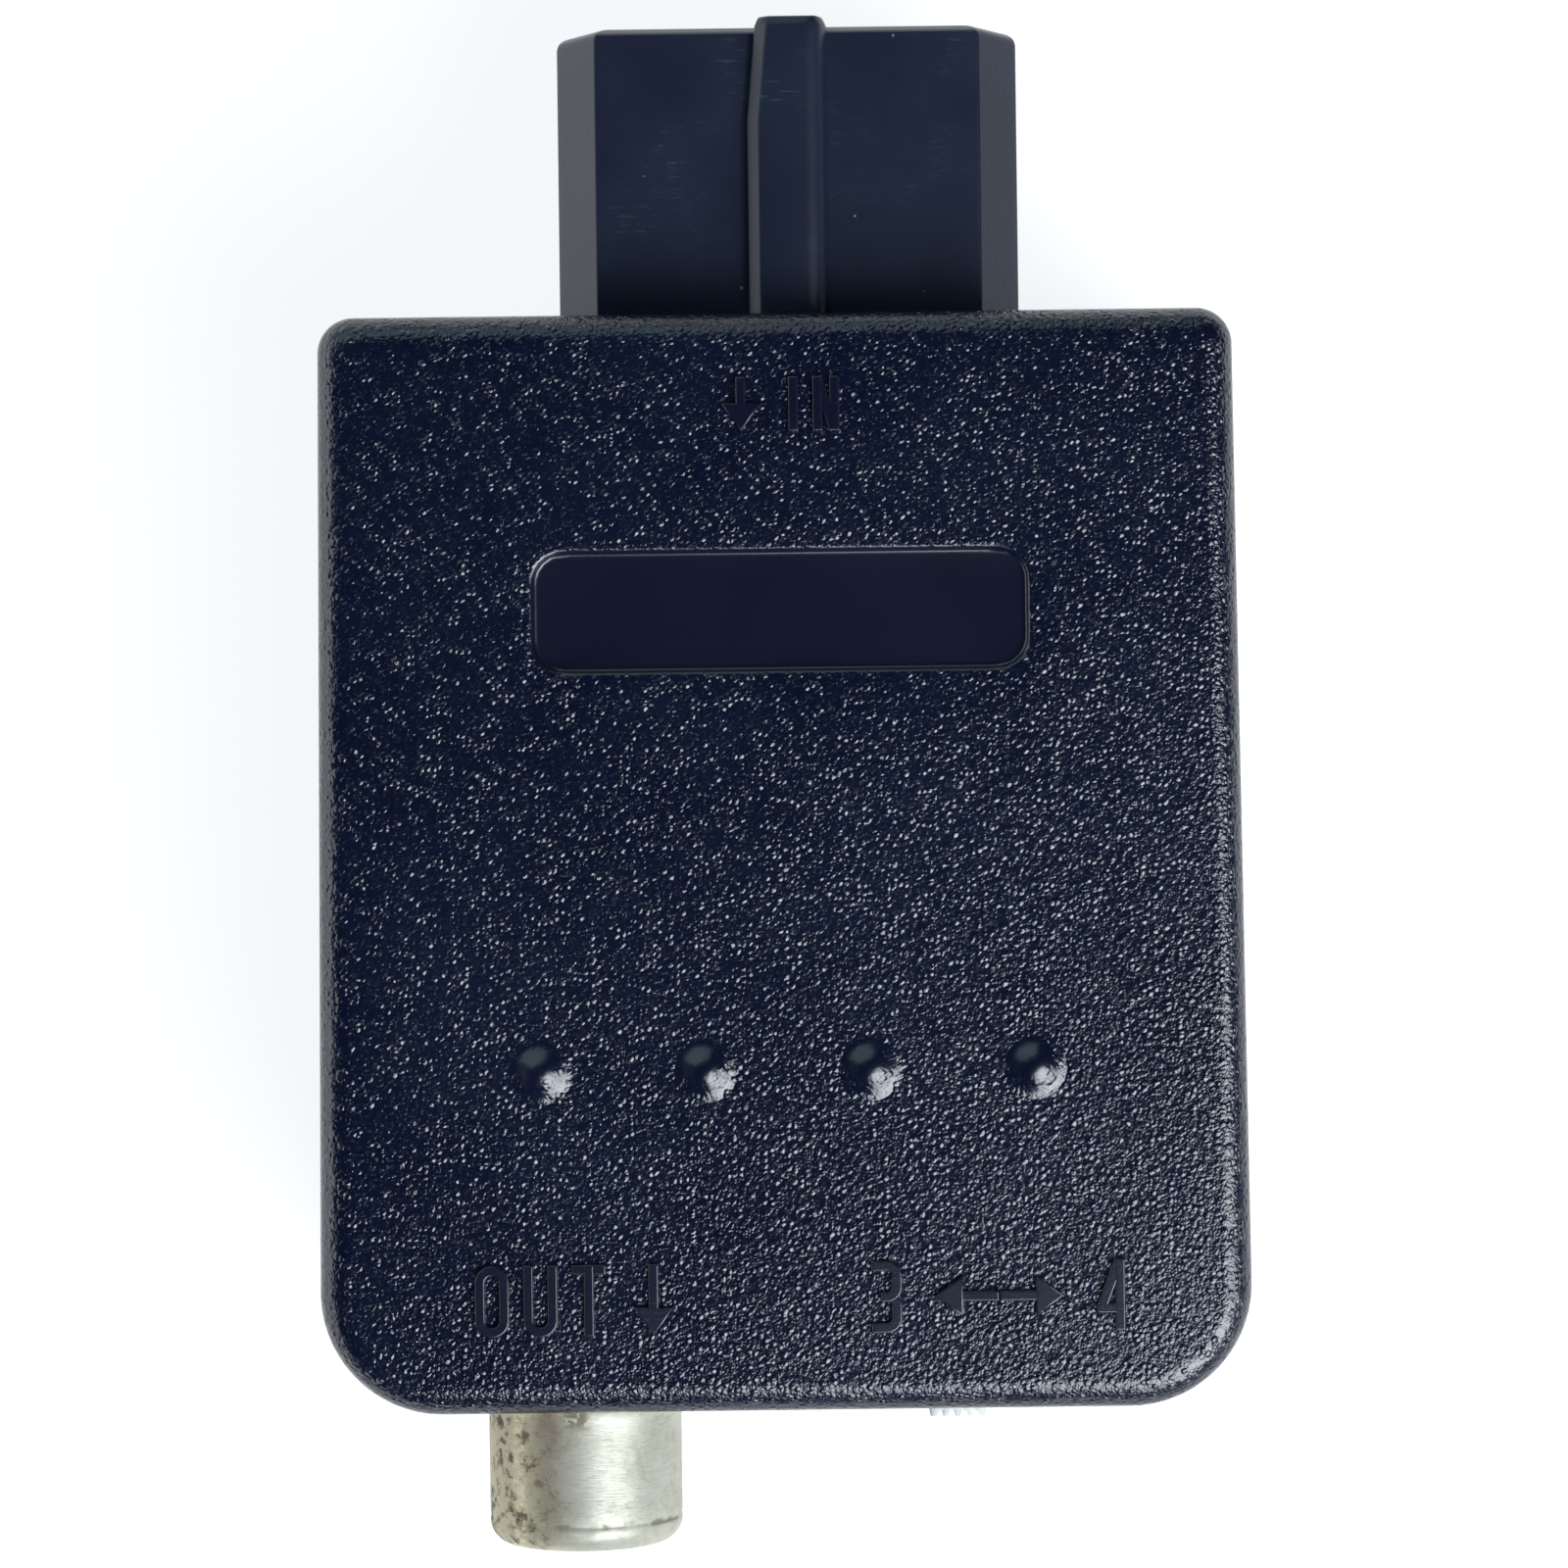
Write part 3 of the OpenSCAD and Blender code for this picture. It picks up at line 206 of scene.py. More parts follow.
def softenedCopy(name, node, material, edge):
    # A merged copy of a CAD node with its sharp edges rounded by edge millimetres
    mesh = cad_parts[node].data.copy()
    mesh.name = name
    work = bmesh.new()
    work.from_mesh(mesh)
    bmesh.ops.remove_doubles(work, verts=work.verts, dist=softening["merge"] * mm)
    bmesh.ops.dissolve_degenerate(work, edges=work.edges, dist=softening["sliver"] * mm)
    work.to_mesh(mesh)
    work.free()
    mesh.shade_smooth()
    mesh.set_sharp_from_angle(angle=math.radians(softening["crease"]))
    mesh.materials.clear()
    mesh.materials.append(material)
    piece = bpy.data.objects.new(name, mesh)
    bpy.context.scene.collection.objects.link(piece)
    bevel = piece.modifiers.new("edges", "BEVEL")
    bevel.width = edge * mm
    bevel.segments = softening["steps"]
    bevel.limit_method = "ANGLE"
    bevel.angle_limit = math.radians(softening["sharpEdge"])
    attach(piece, "case_body")
    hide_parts(node)


def arc(centre, radius, start, end, count):
    # Points of a circle's arc, angles in degrees
    a = np.radians(np.linspace(start, end, count))
    return np.column_stack([centre[0] + radius * np.cos(a), centre[1] + radius * np.sin(a)])


def unitCircle(count):
    # Points evenly round a circle of radius 1, counter-clockwise from the x axis
    a = np.linspace(0, 2 * math.pi, count + 1)[:-1]
    return np.column_stack([np.cos(a), np.sin(a)])


def roundedOutline(corners, radius, count):
    # Closed outline of a polygon whose corners are arcs tangent to both sides
    corners = np.asarray(corners, float)
    out = []
    for i, corner in enumerate(corners):
        before = corners[i - 1] - corner
        after = corners[(i + 1) % len(corners)] - corner
        before /= np.linalg.norm(before)
        after /= np.linalg.norm(after)
        half = math.acos(np.clip(before @ after, -1, 1)) / 2
        reach = radius / math.tan(half)
        middle = before + after
        middle /= np.linalg.norm(middle)
        centre = corner + middle * radius / math.sin(half)
        a = corner + before * reach - centre
        b = corner + after * reach - centre
        t = np.linspace(0, 1, count)[:, None]
        sweep = a * (1 - t) + b * t
        out.append(centre + sweep / np.linalg.norm(sweep, axis=1)[:, None] * radius)
    return np.vstack(out)


def byAngle(outline, angles):
    # Points of a star-shaped outline at the given angles about its origin
    d = np.asarray(outline, float)
    a = np.mod(np.arctan2(d[:, 1], d[:, 0]), 2 * math.pi)
    order = np.argsort(a)
    a, d = a[order], d[order]
    a = np.concatenate([[a[-1] - 2 * math.pi], a, [a[0] + 2 * math.pi]])
    d = np.vstack([d[-1], d, d[0]])
    wanted = np.mod(angles, 2 * math.pi)
    at = np.clip(np.searchsorted(a, wanted, side="right"), 1, len(a) - 1)
    p, q = d[at - 1], d[at]
    ray = np.column_stack([np.cos(wanted), np.sin(wanted)])
    edge = q - p
    # crossing of the ray with the chord from p to q
    cross = ray[:, 0] * edge[:, 1] - ray[:, 1] * edge[:, 0]
    reach = (p[:, 0] * edge[:, 1] - p[:, 1] * edge[:, 0]) / np.where(abs(cross) < 1e-12, 1, cross)
    return ray * reach[:, None]


# finishes

grain = {
    "pebble": 0.25, "skin": 0.115, "swell": 0.4, "cloud": 7.0, "drift": (0.3, 0.1), "steep": 2.4,
    "pebbleShare": 1.08, "skinShare": 0.23, "swellShare": 0.17, "depth": 0.05,
    "roughness": 0.165, "shine": 1.75, "edgeFade": (8.6, 7.9), "wallDull": 0.3,
    "jackEndFade": (-21.0, -22.2), "jackEndDull": 0.52,
    "colour": (0.0016, 0.0036, 0.0160), "lighter": (0.0026, 0.0052, 0.0195),
    "worn": (0.0065, 0.0092, 0.018),
}
field = {
    "x": 0.1, "y": 10.4, "width": 20.5, "height": 5.0, "corner": 1.3, "depth": 0.3,
    "fade": (0.02, 0.16), "below": (16.3, 16.5), "dull": 0.075,
    # how far in from the edge, and how far down, the lip passes on its way to the floor
    "lip": ((-0.06, 0.012), (-0.01, 0.05), (0.02, 0.11), (0.05, 0.2), (0.09, 0.26), (0.16, 0.292),
            (0.26, 0.3)),
}
dots = {
    "x": (-10.0, -3.2, 3.6, 10.4), "step": 6.8, "y": -8.6, "foot": 1.5, "height": 0.52, "sunk": 0.02,
    "rubbed": (1.35, 0.95), "towardsLight": (0.5, 0.86), "rubbedShare": 0.6,
    "smoothAt": (-0.28, 0.42), "smooth": (1.1, 0.7), "smoothShare": 0.9,
    "under": 0.1, "rings": 26, "columns": 64,
}


def casePlastic(name, smoothPart=""):
    # Blue-black plastic with a fine pebbled grain, smooth in the sunk field and
    # nearly smooth on the upper left of each dot
    r = Recipe(name)
    x, y, z = r.axes()
    wide = r.noise(grain["cloud"])

    def mounds(pitch, place, tall):
        # a low mound in each cell, as high as tall makes of the cell's chance
        near, chance = r.cells(pitch, place)
        return (1 - near * near * grain["steep"]).most(0.0) * tall(chance)

    # only some of the pebbles stand tall
    pebble = mounds(grain["pebble"], r.warped(*grain["drift"]), lambda c: 0.22 + c.step(0.4, 1.0) * 0.78)
    skin = mounds(grain["skin"], None, lambda c: 0.3 + c * 0.7)
    pebble = (pebble * grain["pebbleShare"] + skin * grain["skinShare"]
              + r.noise(grain["swell"]) * grain["swellShare"])
    rough = grain["roughness"] + wide * 0.05
    if smoothPart == "field":
        side = field["corner"]
        dx = ((x - field["x"]).size() - (field["width"] / 2 - side)).most(0.0)
        dy = ((y - field["y"]).size() - (field["height"] / 2 - side)).most(0.0)
        away = (dx * dx + dy * dy) ** 0.5
        start, full = field["fade"]
        mask = away.step(side + start, side + full).most(1 - z.step(*field["below"]))
        pebble = pebble * mask
        rough = rough + (1 - mask) * field["dull"]
    if smoothPart == "dots":
        first = dots["x"][0]
        dx = x - (x - first + dots["step"] / 2).snap(dots["step"]) - first
        dy = y - dots["y"]
        inner = ((dx * dx + dy * dy) ** 0.5).step(*dots["rubbed"])
        right, down = dots["towardsLight"]
        lit = (dx * right - dy * down).step(0.0, 0.55) * inner
        smoothX, smoothY = dots["smoothAt"]
        calm = (((dx - smoothX) ** 2.0 + (dy - smoothY) ** 2.0) ** 0.5).step(*dots["smooth"])
        pebble = pebble * (1 - calm * dots["smoothShare"]) * (1 - lit * dots["rubbedShare"])
        rough = rough + calm * 0.05
    wear = r.noise(1.7, 3.0, 0.6).step(0.62, 0.8)
    colour = r.blend(wide.step(0.3, 0.7), grain["colour"], grain["lighter"])
    colour = r.blend(wear * 0.35, colour, grain["worn"])
    # the side walls shine less than the two faces, the jack end least
    wall = y.step(*grain["jackEndFade"]) * grain["jackEndDull"] + grain["wallDull"]
    wall = (z - midPlane).size().step(*grain["edgeFade"]) * wall
    return r.done(Base_Color=colour, Roughness=rough, Metallic=wall, IOR=grain["shine"],
                  Normal=r.bump(pebble, grain["depth"]))


def smoothPlastic(name, colourA, colourB, roughness, scuffs, ripple=0.004, gloss=1.75, dullFrom=None):
    # Plain moulded plastic with faint clouds, short rubs across it and dust; it
    # shines less to the right of dullFrom
    r = Recipe(name)
    clouds = r.noise(5.0, 3.0, 0.55)
    across = r.noise(0.13, 2.0, 0.5, r.stretched((0.17, 1.0, 0.3)))
    dust, chance = r.cells(1.3)
    speck = dust.step(0.06, 0.035) * chance.step(0.6, 0.65)
    scuff = across.step(0.58, 0.72) * clouds.step(0.5, 0.64)
    colour = r.blend(clouds.step(0.3, 0.7), colourA, colourB)
    colour = r.blend(scuff * scuffs, colour, (0.045, 0.068, 0.095))
    colour = r.blend(speck * min(1.0, scuffs * 1.6), colour, (0.3, 0.31, 0.33))
    rough = roughness + clouds * 0.08 + scuff * 0.08
    relief = r.noise(0.5, 3.0, 0.6) + r.noise(0.13, 2.0, 0.6) * 0.9
    dull = 0.0 if dullFrom is None else r.axes()[0].step(dullFrom - 0.03, dullFrom + 0.03) * 0.8
    return r.done(Base_Color=colour, Roughness=rough, Metallic=dull, IOR=gloss,
                  Normal=r.bump(relief, ripple))


def sheetMetal(name, colourA, colourB, roughness, blob=2.5, relief=0.01, metallic=1.0):
    # Rolled or plated metal: soft blotches, fine rolling lines, a few dull spots
    r = Recipe(name)
    blotch = r.noise(blob, 3.0, 0.6)
    lines = r.noise(0.12, 2.0, 0.5, r.stretched((1.0, 0.08, 1.0)))
    spots = r.noise(blob * 0.3, 2.0, 0.6).step(0.6, 0.75)
    colour = r.blend(blotch.step(0.3, 0.7), colourA, colourB)
    colour = r.blend(spots * 0.4, colour, tuple(c * 0.55 for c in colourA))
    rough = roughness + blotch * 0.12 + spots * 0.15 + lines * 0.05
    return r.done(Base_Color=colour, Roughness=rough, Metallic=metallic,
                  Normal=r.bump(lines * 0.4 + blotch * 0.6, relief))


# places across the sleeve (x) and along it (y), each with the reach of its soft edge
tarnishAndPaintedLight = {
    "side": (-8.6, -11.4), "paintedReflection": -10.2, "paintedReflectionEdge": (0.8, 0.2), "paintedReflectionEnd": (-25.5, -23.2),
    "darkPatch": -9.0, "darkPatchEdge": (0.8, 0.3), "darkPatchEnd": (-24.2, -23.6),
    "seam": -28.15, "seamEdge": (0.2, 0.05), "crowdEnd": (-26.4, -28.0),
    "paintedHighlight": -11.45, "paintedHighlightEdge": (0.4, 0.12),
}


def sleeveMetal(name):
    # Dull tin plate, yellowed and specked with brown on the side away from the light, with a painted
    # reflection and a painted highlight on that side
    r = Recipe(name)
    x, y = r.axes()[:2]
    t = tarnishAndPaintedLight
    blotch = r.noise(1.8, 4.0, 0.62)
    fine = r.noise(0.32, 3.0, 0.6)
    lines = r.noise(0.07, 2.0, 0.5, r.stretched((0.12, 1.0, 0.12)))
    side = x.step(*t["side"]) * 0.85 + 0.15
    crowd = blotch + y.step(*t["crowdEnd"]) * 0.08
    flecks = r.noise(0.5, 4.0, 0.7).step(0.48, 0.62) * crowd.step(0.42, 0.56) * side
    # a painted reddish reflection down the left, a dark patch by the case and a broken dark line by the
    # rim
    paintedReflection = blotch.step(0.3, 0.6) * 0.5 + y.step(*t["paintedReflectionEnd"]) * 0.5
    paintedReflection = (x - t["paintedReflection"]).size().step(*t["paintedReflectionEdge"]) * paintedReflection
    darkPatch = (x - t["darkPatch"]).size().step(*t["darkPatchEdge"]) * y.step(*t["darkPatchEnd"]) * fine.step(0.36, 0.5)
    seam = (y - t["seam"]).size().step(*t["seamEdge"]) * r.noise(0.9).step(0.42, 0.58)
    dark = flecks.most(darkPatch * 0.9).most(seam * 0.75)
    # a cream band down the left: a painted highlight, standing in for a light shining in the metal
    paintedHighlight = (x - t["paintedHighlight"]).size().step(*t["paintedHighlightEdge"]) * fine.step(0.35, 0.6)
    colour = r.blend(blotch.step(0.3, 0.75), (0.525, 0.528, 0.458), (0.42, 0.42, 0.345))
    colour = r.blend(side * 0.85, colour, (0.55, 0.48, 0.31))
    colour = r.blend(fine.step(0.5, 0.72) * 0.45, colour, (0.61, 0.59, 0.49))
    colour = r.blend(paintedHighlight * 0.6, colour, (0.88, 0.77, 0.52))
    colour = r.blend(lines.step(0.52, 0.7) * 0.3, colour, (0.27, 0.27, 0.24))
    colour = r.blend(paintedReflection * 0.75, colour, (0.3, 0.215, 0.165))
    colour = r.blend(dark, colour, (0.15, 0.12, 0.07))
    rough = 0.41 + blotch * 0.12 + dark * 0.2 + lines * 0.06
    return r.done(Base_Color=colour, Roughness=rough, Metallic=0.5 - dark * 0.35,
                  Normal=r.bump(lines * 0.35 + fine * 0.35 - dark * 0.5 + blotch, 0.03))


def boardFinish(name, colourA, colourB):
    # Laminate: woven ground under a thin glossy resist
    r = Recipe(name)
    weave = r.noise(0.25, 1.0, 0.5, r.stretched((1.0, 0.3, 1.0))) * 0.5
    weave = weave + r.noise(0.25, 1.0, 0.5, r.stretched((0.3, 1.0, 1.0))) * 0.5
    clouds = r.noise(6.0)
    colour = r.blend(weave.step(0.4, 0.6), colourA, colourB)
    colour = r.blend(clouds.step(0.4, 0.8) * 0.3, colour, tuple(c * 0.6 for c in colourA))
    return r.done(Base_Color=colour, Roughness=0.35 + weave * 0.2, Coat_Weight=0.2,
                  Normal=r.bump(weave, 0.008))


def mattPart(name, colourA, colourB, roughness, blob=0.6, relief=0.01):
    # Moulded, dipped or sintered part: fine mottle and a slightly uneven skin
    r = Recipe(name)
    mottle = r.noise(blob, 3.0, 0.6)
    skin = r.noise(blob * 0.3)
    colour = r.blend(mottle.step(0.3, 0.7), colourA, colourB)
    return r.done(Base_Color=colour, Roughness=roughness + mottle * 0.12,
                  Normal=r.bump(mottle * 0.6 + skin * 0.4, relief))


def windingFinish(name):
    # Turns of enamelled copper wire round an upright core, with painted shade in the grooves between them
    r = Recipe(name)
    pitch = 0.3
    turn = (r.axes()[2] * (2 * math.pi / pitch)).sine() * 0.5 + 0.5
    shade = r.noise(0.8)
    colour = r.blend(shade.step(0.3, 0.7), (0.62, 0.24, 0.1), (0.42, 0.14, 0.06))
    # darker between the turns: painted shade in the grooves
    colour = r.blend((1 - turn) * 0.6, colour, (0.12, 0.03, 0.015))
    return r.done(Base_Color=colour, Roughness=0.3 + shade * 0.1, Metallic=0.9,
                  Normal=r.bump(turn, 0.08))


caseFinish = casePlastic("grained blue-black case", "field")
rearFinish = casePlastic("grained blue-black back")
markFinish = smoothPlastic("smooth raised marks", grain["colour"], grain["lighter"], 0.22, 0.03)
dotFinish = casePlastic("dots worn smooth", "dots")
print("case finishes ready")


# front half of the case

case = {
    "plugEnd": 22.8, "jackEnd": -22.8, "plugHalf": 19.0, "jackHalf": 19.35,
    "plugCorner": 1.5, "jackCorner": 5.1, "depth": 17.5, "parting": midPlane,
    "wall": 1.8, "innerCorner": 0.5, "edgeRound": 1.3, "seam": 0.12,
    "sideColumns": 66, "plugEndColumns": 60, "jackEndColumns": 64, "jackHoleColumns": 49,
    "plugCornerColumns": 16, "jackCornerColumns": 30,
    "plugHole": {"x": 0.65, "half": 9.95, "rise": 4.95, "chamferWidth": 1.7, "chamferRise": 2.6},
    "jackHole": {"x": -8.75, "radius": 4.65},
    "knobHole": {"x": 8.8, "half": 3.0, "rise": 1.9},
}


def stations(start, end, count, extra=()):
    # Even stations without the two ends, with extra ones put in, in order
    inner = np.linspace(start, end, count)[1:-1]
    return np.array(sorted([*inner, *extra], reverse=start > end))


def casePerimeter():
    # The outline taken counter-clockwise as outer point, outward normal, inner
    # point and foot height, column by column. Arcs turn about shared centres;
    # the foot follows the openings for plug, jack and knob.
    c = case
    parts = []

    def add(outer, normal, inner, foot):
        outer = np.asarray(outer, float)
        normal = np.broadcast_to(np.asarray(normal, float), outer.shape)
        foot = np.broadcast_to(np.asarray(foot, float), (len(outer),))
        parts.append(np.column_stack([outer, normal, inner, foot]))

    def corner(side, end, start):
        which = "plug" if end > 0 else "jack"
        half, r, edgeY, count = [c[which + part] for part in ("Half", "Corner", "End", "CornerColumns")]
        ri = max(r - c["wall"], c["innerCorner"])
        outer = arc((side * (half - r), edgeY - end * r), r, start, start + 90, count)
        shift = c["wall"] + ri
        inner = arc((side * (half - shift), edgeY - end * shift), ri, start, start + 90, count)
        a = np.radians(np.linspace(start, start + 90, count))
        add(outer, np.column_stack([np.cos(a), np.sin(a)]), inner, c["parting"])

    def sideEdge(side):
        y = stations(c["jackEnd"] + c["jackCorner"], c["plugEnd"] - c["plugCorner"], c["sideColumns"])
        t = (y - c["jackEnd"] - c["jackCorner"]) / (
            c["plugEnd"] - c["plugCorner"] - c["jackEnd"] - c["jackCorner"])
        x = c["jackHalf"] + t * (c["plugHalf"] - c["jackHalf"])
        topInner = c["plugEnd"] - c["wall"] - c["innerCorner"]
        yInner = c["jackEnd"] + c["jackCorner"] + t * (topInner - c["jackEnd"] - c["jackCorner"])
        outer = np.column_stack([side * x, y])
        inner = np.column_stack([side * (x - c["wall"]), yInner])
        if side < 0:
            outer, inner = outer[::-1], inner[::-1]
        add(outer, (side, 0), inner, c["parting"])

    corner(1, 1, 0)
    # plug end, right to left
    hole, tiny = c["plugHole"], 0.004
    far, near = hole["half"], hole["half"] - hole["chamferWidth"]
    reach = c["plugHalf"] - c["plugCorner"]
    x = stations(reach, -reach, c["plugEndColumns"],
                 [hole["x"] + s * (far + d) for s in (-1, 1) for d in (-tiny, tiny)]
                 + [hole["x"] + s * near for s in (-1, 1)])
    u = abs(x - hole["x"])
    slope = hole["chamferRise"] / hole["chamferWidth"]
    foot = np.where(u > far, 0, np.where(u > near, hole["rise"] - (u - near) * slope, hole["rise"]))
    keep, innerReach = 12.0, c["plugHalf"] - c["wall"] - c["innerCorner"]
    xInner = np.where(abs(x) < keep, x,
                      np.sign(x) * (keep + (abs(x) - keep) * (innerReach - keep) / (reach - keep)))
    add(np.column_stack([x, np.full(len(x), c["plugEnd"])]), (0, 1),
        np.column_stack([xInner, np.full(len(x), c["plugEnd"] - c["wall"])]), c["parting"] + foot)
    corner(-1, 1, 90)
    sideEdge(-1)
    corner(-1, -1, 180)
    # jack end, left to right
    jack, knob = c["jackHole"], c["knobHole"]
    reach = c["jackHalf"] - c["jackCorner"]
    mouth = jack["x"] - jack["radius"] * np.cos(np.linspace(0, math.pi, c["jackHoleColumns"]))
    slot = [knob["x"] + s * (knob["half"] + d) for s in (-1, 1) for d in (-tiny, tiny)]
    x = stations(-reach, reach, c["jackEndColumns"])
    x = x[abs(x - jack["x"]) > jack["radius"] + 0.05]
    x = np.sort(np.concatenate([x, mouth, slot]))
    rise = np.sqrt(np.maximum(jack["radius"] ** 2 - (x - jack["x"]) ** 2, 0))
    rise = np.where(abs(x - knob["x"]) < knob["half"], knob["rise"], rise)
    add(np.column_stack([x, np.full(len(x), c["jackEnd"])]), (0, -1),
        np.column_stack([x, np.full(len(x), c["jackEnd"] + c["wall"])]), c["parting"] + rise)
    corner(1, -1, 270)
    sideEdge(1)
    table = np.vstack(parts)
    gap = np.linalg.norm(np.diff(table[:, :2], axis=0, append=table[:1, :2]), axis=1)
    table = table[gap > 1e-4]
    return table[:, 0:2], table[:, 2:4], table[:, 4:6], table[:, 6]


def fieldEdge(inset, angles):
    # Rounded-rectangle edge of the sunk field, drawn in by inset, at angles about its centre
    w, h = field["width"] / 2 - inset, field["height"] / 2 - inset
    r = field["corner"] - inset
    outline = roundedOutline([(w, -h), (w, h), (-w, h), (-w, -h)], r, 14)
    return byAngle(outline, angles) + (field["x"], field["y"])


def frontCase():
    # Rings from the ceiling's middle out over the inner wall, round the foot, up
    # the outer wall, over the rounded edge, across the face and into the field
    c = case
    outer, normal, inner, foot = casePerimeter()
    centre = np.array([field["x"], field["y"]])
    ceiling = c["depth"] - c["wall"]
    rings = []

    def ring(xy, z):
        rings.append(np.column_stack([xy, np.broadcast_to(z, len(xy))]))

    for t in (0.3, 0.65, 1.0):
        ring(centre + t * (inner - centre), ceiling)
    for t in (0.4, 0.8, 1.0):
        ring(inner, ceiling + t * (foot - ceiling))
    seam = c["seam"]
    ring(outer - seam * normal, foot)
    ring(outer - 0.3 * seam * normal, foot + 0.3 * seam)
    wallTop = c["depth"] - c["edgeRound"]
    for t in np.linspace(0, 1, 8):
        ring(outer, foot + seam + t * (wallTop - foot - seam))
    for a in np.radians(np.linspace(0, 90, 17))[1:]:
        ring(outer - c["edgeRound"] * (1 - math.cos(a)) * normal,
             wallTop + c["edgeRound"] * math.sin(a))
    start = outer - c["edgeRound"] * normal
    offset = start - centre
    angles = np.arctan2(offset[:, 1], offset[:, 0])
    lip = fieldEdge(2 * field["lip"][0][0], angles)
    for t in np.linspace(0, 1, 9)[1:]:
        ring(start + t * (lip - start), c["depth"])
    for inset, drop in field["lip"]:
        ring(fieldEdge(inset, angles), c["depth"] - drop)
    floorEdge = rings[-1][:, :2]
    for t in (0.35, 0.7):
        ring(floorEdge + t * (centre - floorEdge), c["depth"] - field["depth"])
    return ringSurface(rings, [*centre, ceiling], [*centre, c["depth"] - field["depth"]])


addPiece("frontCase", frontCase(), "case_body", caseFinish, ["front_shell"], 50)

# Screw tubes and clamp posts inside the front half
fittings = {
    "tube": {"x": 14.756, "y": 2.5, "low": 7.45, "radius": 2.5, "bore": 1.05, "boreDepth": 7.6},
    "clamp": {"x": 13.6, "y": 12.6, "low": 3.9, "radius": 1.2, "bore": 0.4, "boreDepth": 1.0},
    "top": 15.9, "bevel": 0.1, "columns": 32,
}


def post(side, p):
    # A round post about an upright axis, with a blind bore from its lower end
    x, y, low, high = side * p["x"], p["y"], p["low"], fittings["top"]
    bevel, boreTop = fittings["bevel"], low + p["boreDepth"]
    circle = unitCircle(fittings["columns"])
    rows = [(p["bore"], boreTop), (p["bore"], low), (p["radius"] - bevel, low),
            (p["radius"], low + bevel), (p["radius"], high)]
    rings = [np.column_stack([(x, y) + r * circle, np.full(len(circle), z)]) for r, z in rows]
    return ringSurface(rings, [x, y, boreTop], [x, y, high])


def frontFittings():
    # A screw tube and a clamp post on each side
    return joined([post(side, fittings[kind]) for side in (-1, 1) for kind in ("tube", "clamp")])


addPiece("frontTubes", frontFittings(), "case_body", markFinish)

# Raised dots in a row, each a low bump that runs out into the face

def dotCaps():
    # Height over the face is half the dot's height times one plus the cosine of
    # half a turn spread over the foot's radius
    base = case["depth"] - dots["sunk"]
    share = np.linspace(1, 0.04, dots["rings"])
    z = base + dots["height"] / 2 * (1 + np.cos(math.pi * share))
    circle = unitCircle(dots["columns"])
    flat = share[:, None, None] * dots["foot"] * circle
    up = np.broadcast_to(z[:, None, None], (*flat.shape[:2], 1))
    cap = np.concatenate([flat, up], axis=2)
    return joined([ringSurface(cap + (x, dots["y"], 0), [x, dots["y"], base - dots["under"]],
                               [x, dots["y"], base + dots["height"]]) for x in dots["x"]])


addPiece("frontDots", dotCaps(), "case_body", dotFinish)

# Raised marks: strokes with rounded tops along their centre lines
marks = {
    "stroke": 0.45, "relief": 0.25, "sunk": 0.1, "head": 1.2, "headHalf": 0.84, "neckShare": 0.6,
    "height": 3.0, "letter": 1.45, "smallHeight": 2.3, "smallLetter": 1.15, "gap": 0.55, "tuck": 0.02,
    "wayIn": (-2.265, 17.75), "wayOut": (-12.865, -19.5),
    "digit": 1.3, "digitGap": 1.3, "span": 2.7, "bowl": 0.42, "waistShare": 0.3,
    "stemShare": 0.58, "shelfShare": 0.24, "slantFoot": 1.0,
    # how a mark's edge rounds over: steps in from its side, and their heights as shares
    "inward": (0.0, 0.015, 0.035, 0.075, 0.095), "foot": 0.02, "riseShares": (0.68, 0.92, 1.0, 1.0),
    "spread": 0.03, "headShares": (1.03, 1.0, 0.97, 0.93, 0.86, 0.82), "lower": 0.006,
}


def edgeHeights(height):
    # Heights of the steps that round a mark's edge, from its foot to its top
    return [marks["foot"], *(height * share for share in marks["riseShares"])]


def strokeSurface(path, closed=False, lower=0.0):
    # Section of a low flat-topped bar carried along a flat path; both ends slope
    # down, and lower keeps crossing bars from sharing one top
    path = np.asarray(path, float)
    w, h = marks["stroke"] / 2, marks["relief"] - lower
    inward, ends = marks["inward"], edgeHeights(h)
    half = [(w + marks["spread"], -marks["sunk"]), *((w - d, z) for d, z in zip(inward, ends))]
    section = np.array([(-x, z) for x, z in half] + half[::-1])
    if closed:
        along = np.roll(path, -1, 0) - np.roll(path, 1, 0)
        limit = np.full(len(path), h)
    else:
        unit = (path[1] - path[0]) / np.linalg.norm(path[1] - path[0])
        unitEnd = (path[-2] - path[-1]) / np.linalg.norm(path[-2] - path[-1])
        heads = [path[0] + unit * d for d in inward]
        tails = [path[-1] + unitEnd * d for d in inward[::-1]]
        path = np.vstack([heads, path[1:-1], tails])
        limit = np.concatenate([ends, np.full(len(path) - 2 * len(ends), h), ends[::-1]])
        along = np.gradient(path, axis=0)
    along /= np.linalg.norm(along, axis=1)[:, None]
    left = np.column_stack([-along[:, 1], along[:, 0]])
    xy = path[:, None, :] + left[:, None, :] * section[None, :, :1]
    z = np.minimum(section[None, :, 1], limit[:, None]) + case["depth"]
    rings = np.concatenate([xy, z[:, :, None]], axis=2)
    points, faces = ringSurface(rings, loop=closed)
    if not closed:
        count, rows = len(section), len(path)
        faces += [list(range(count))[::-1], [(rows - 1) * count + i for i in range(count)]]
    # the section runs clockwise about the path, so every face is turned over
    return points, [face[::-1] for face in faces]


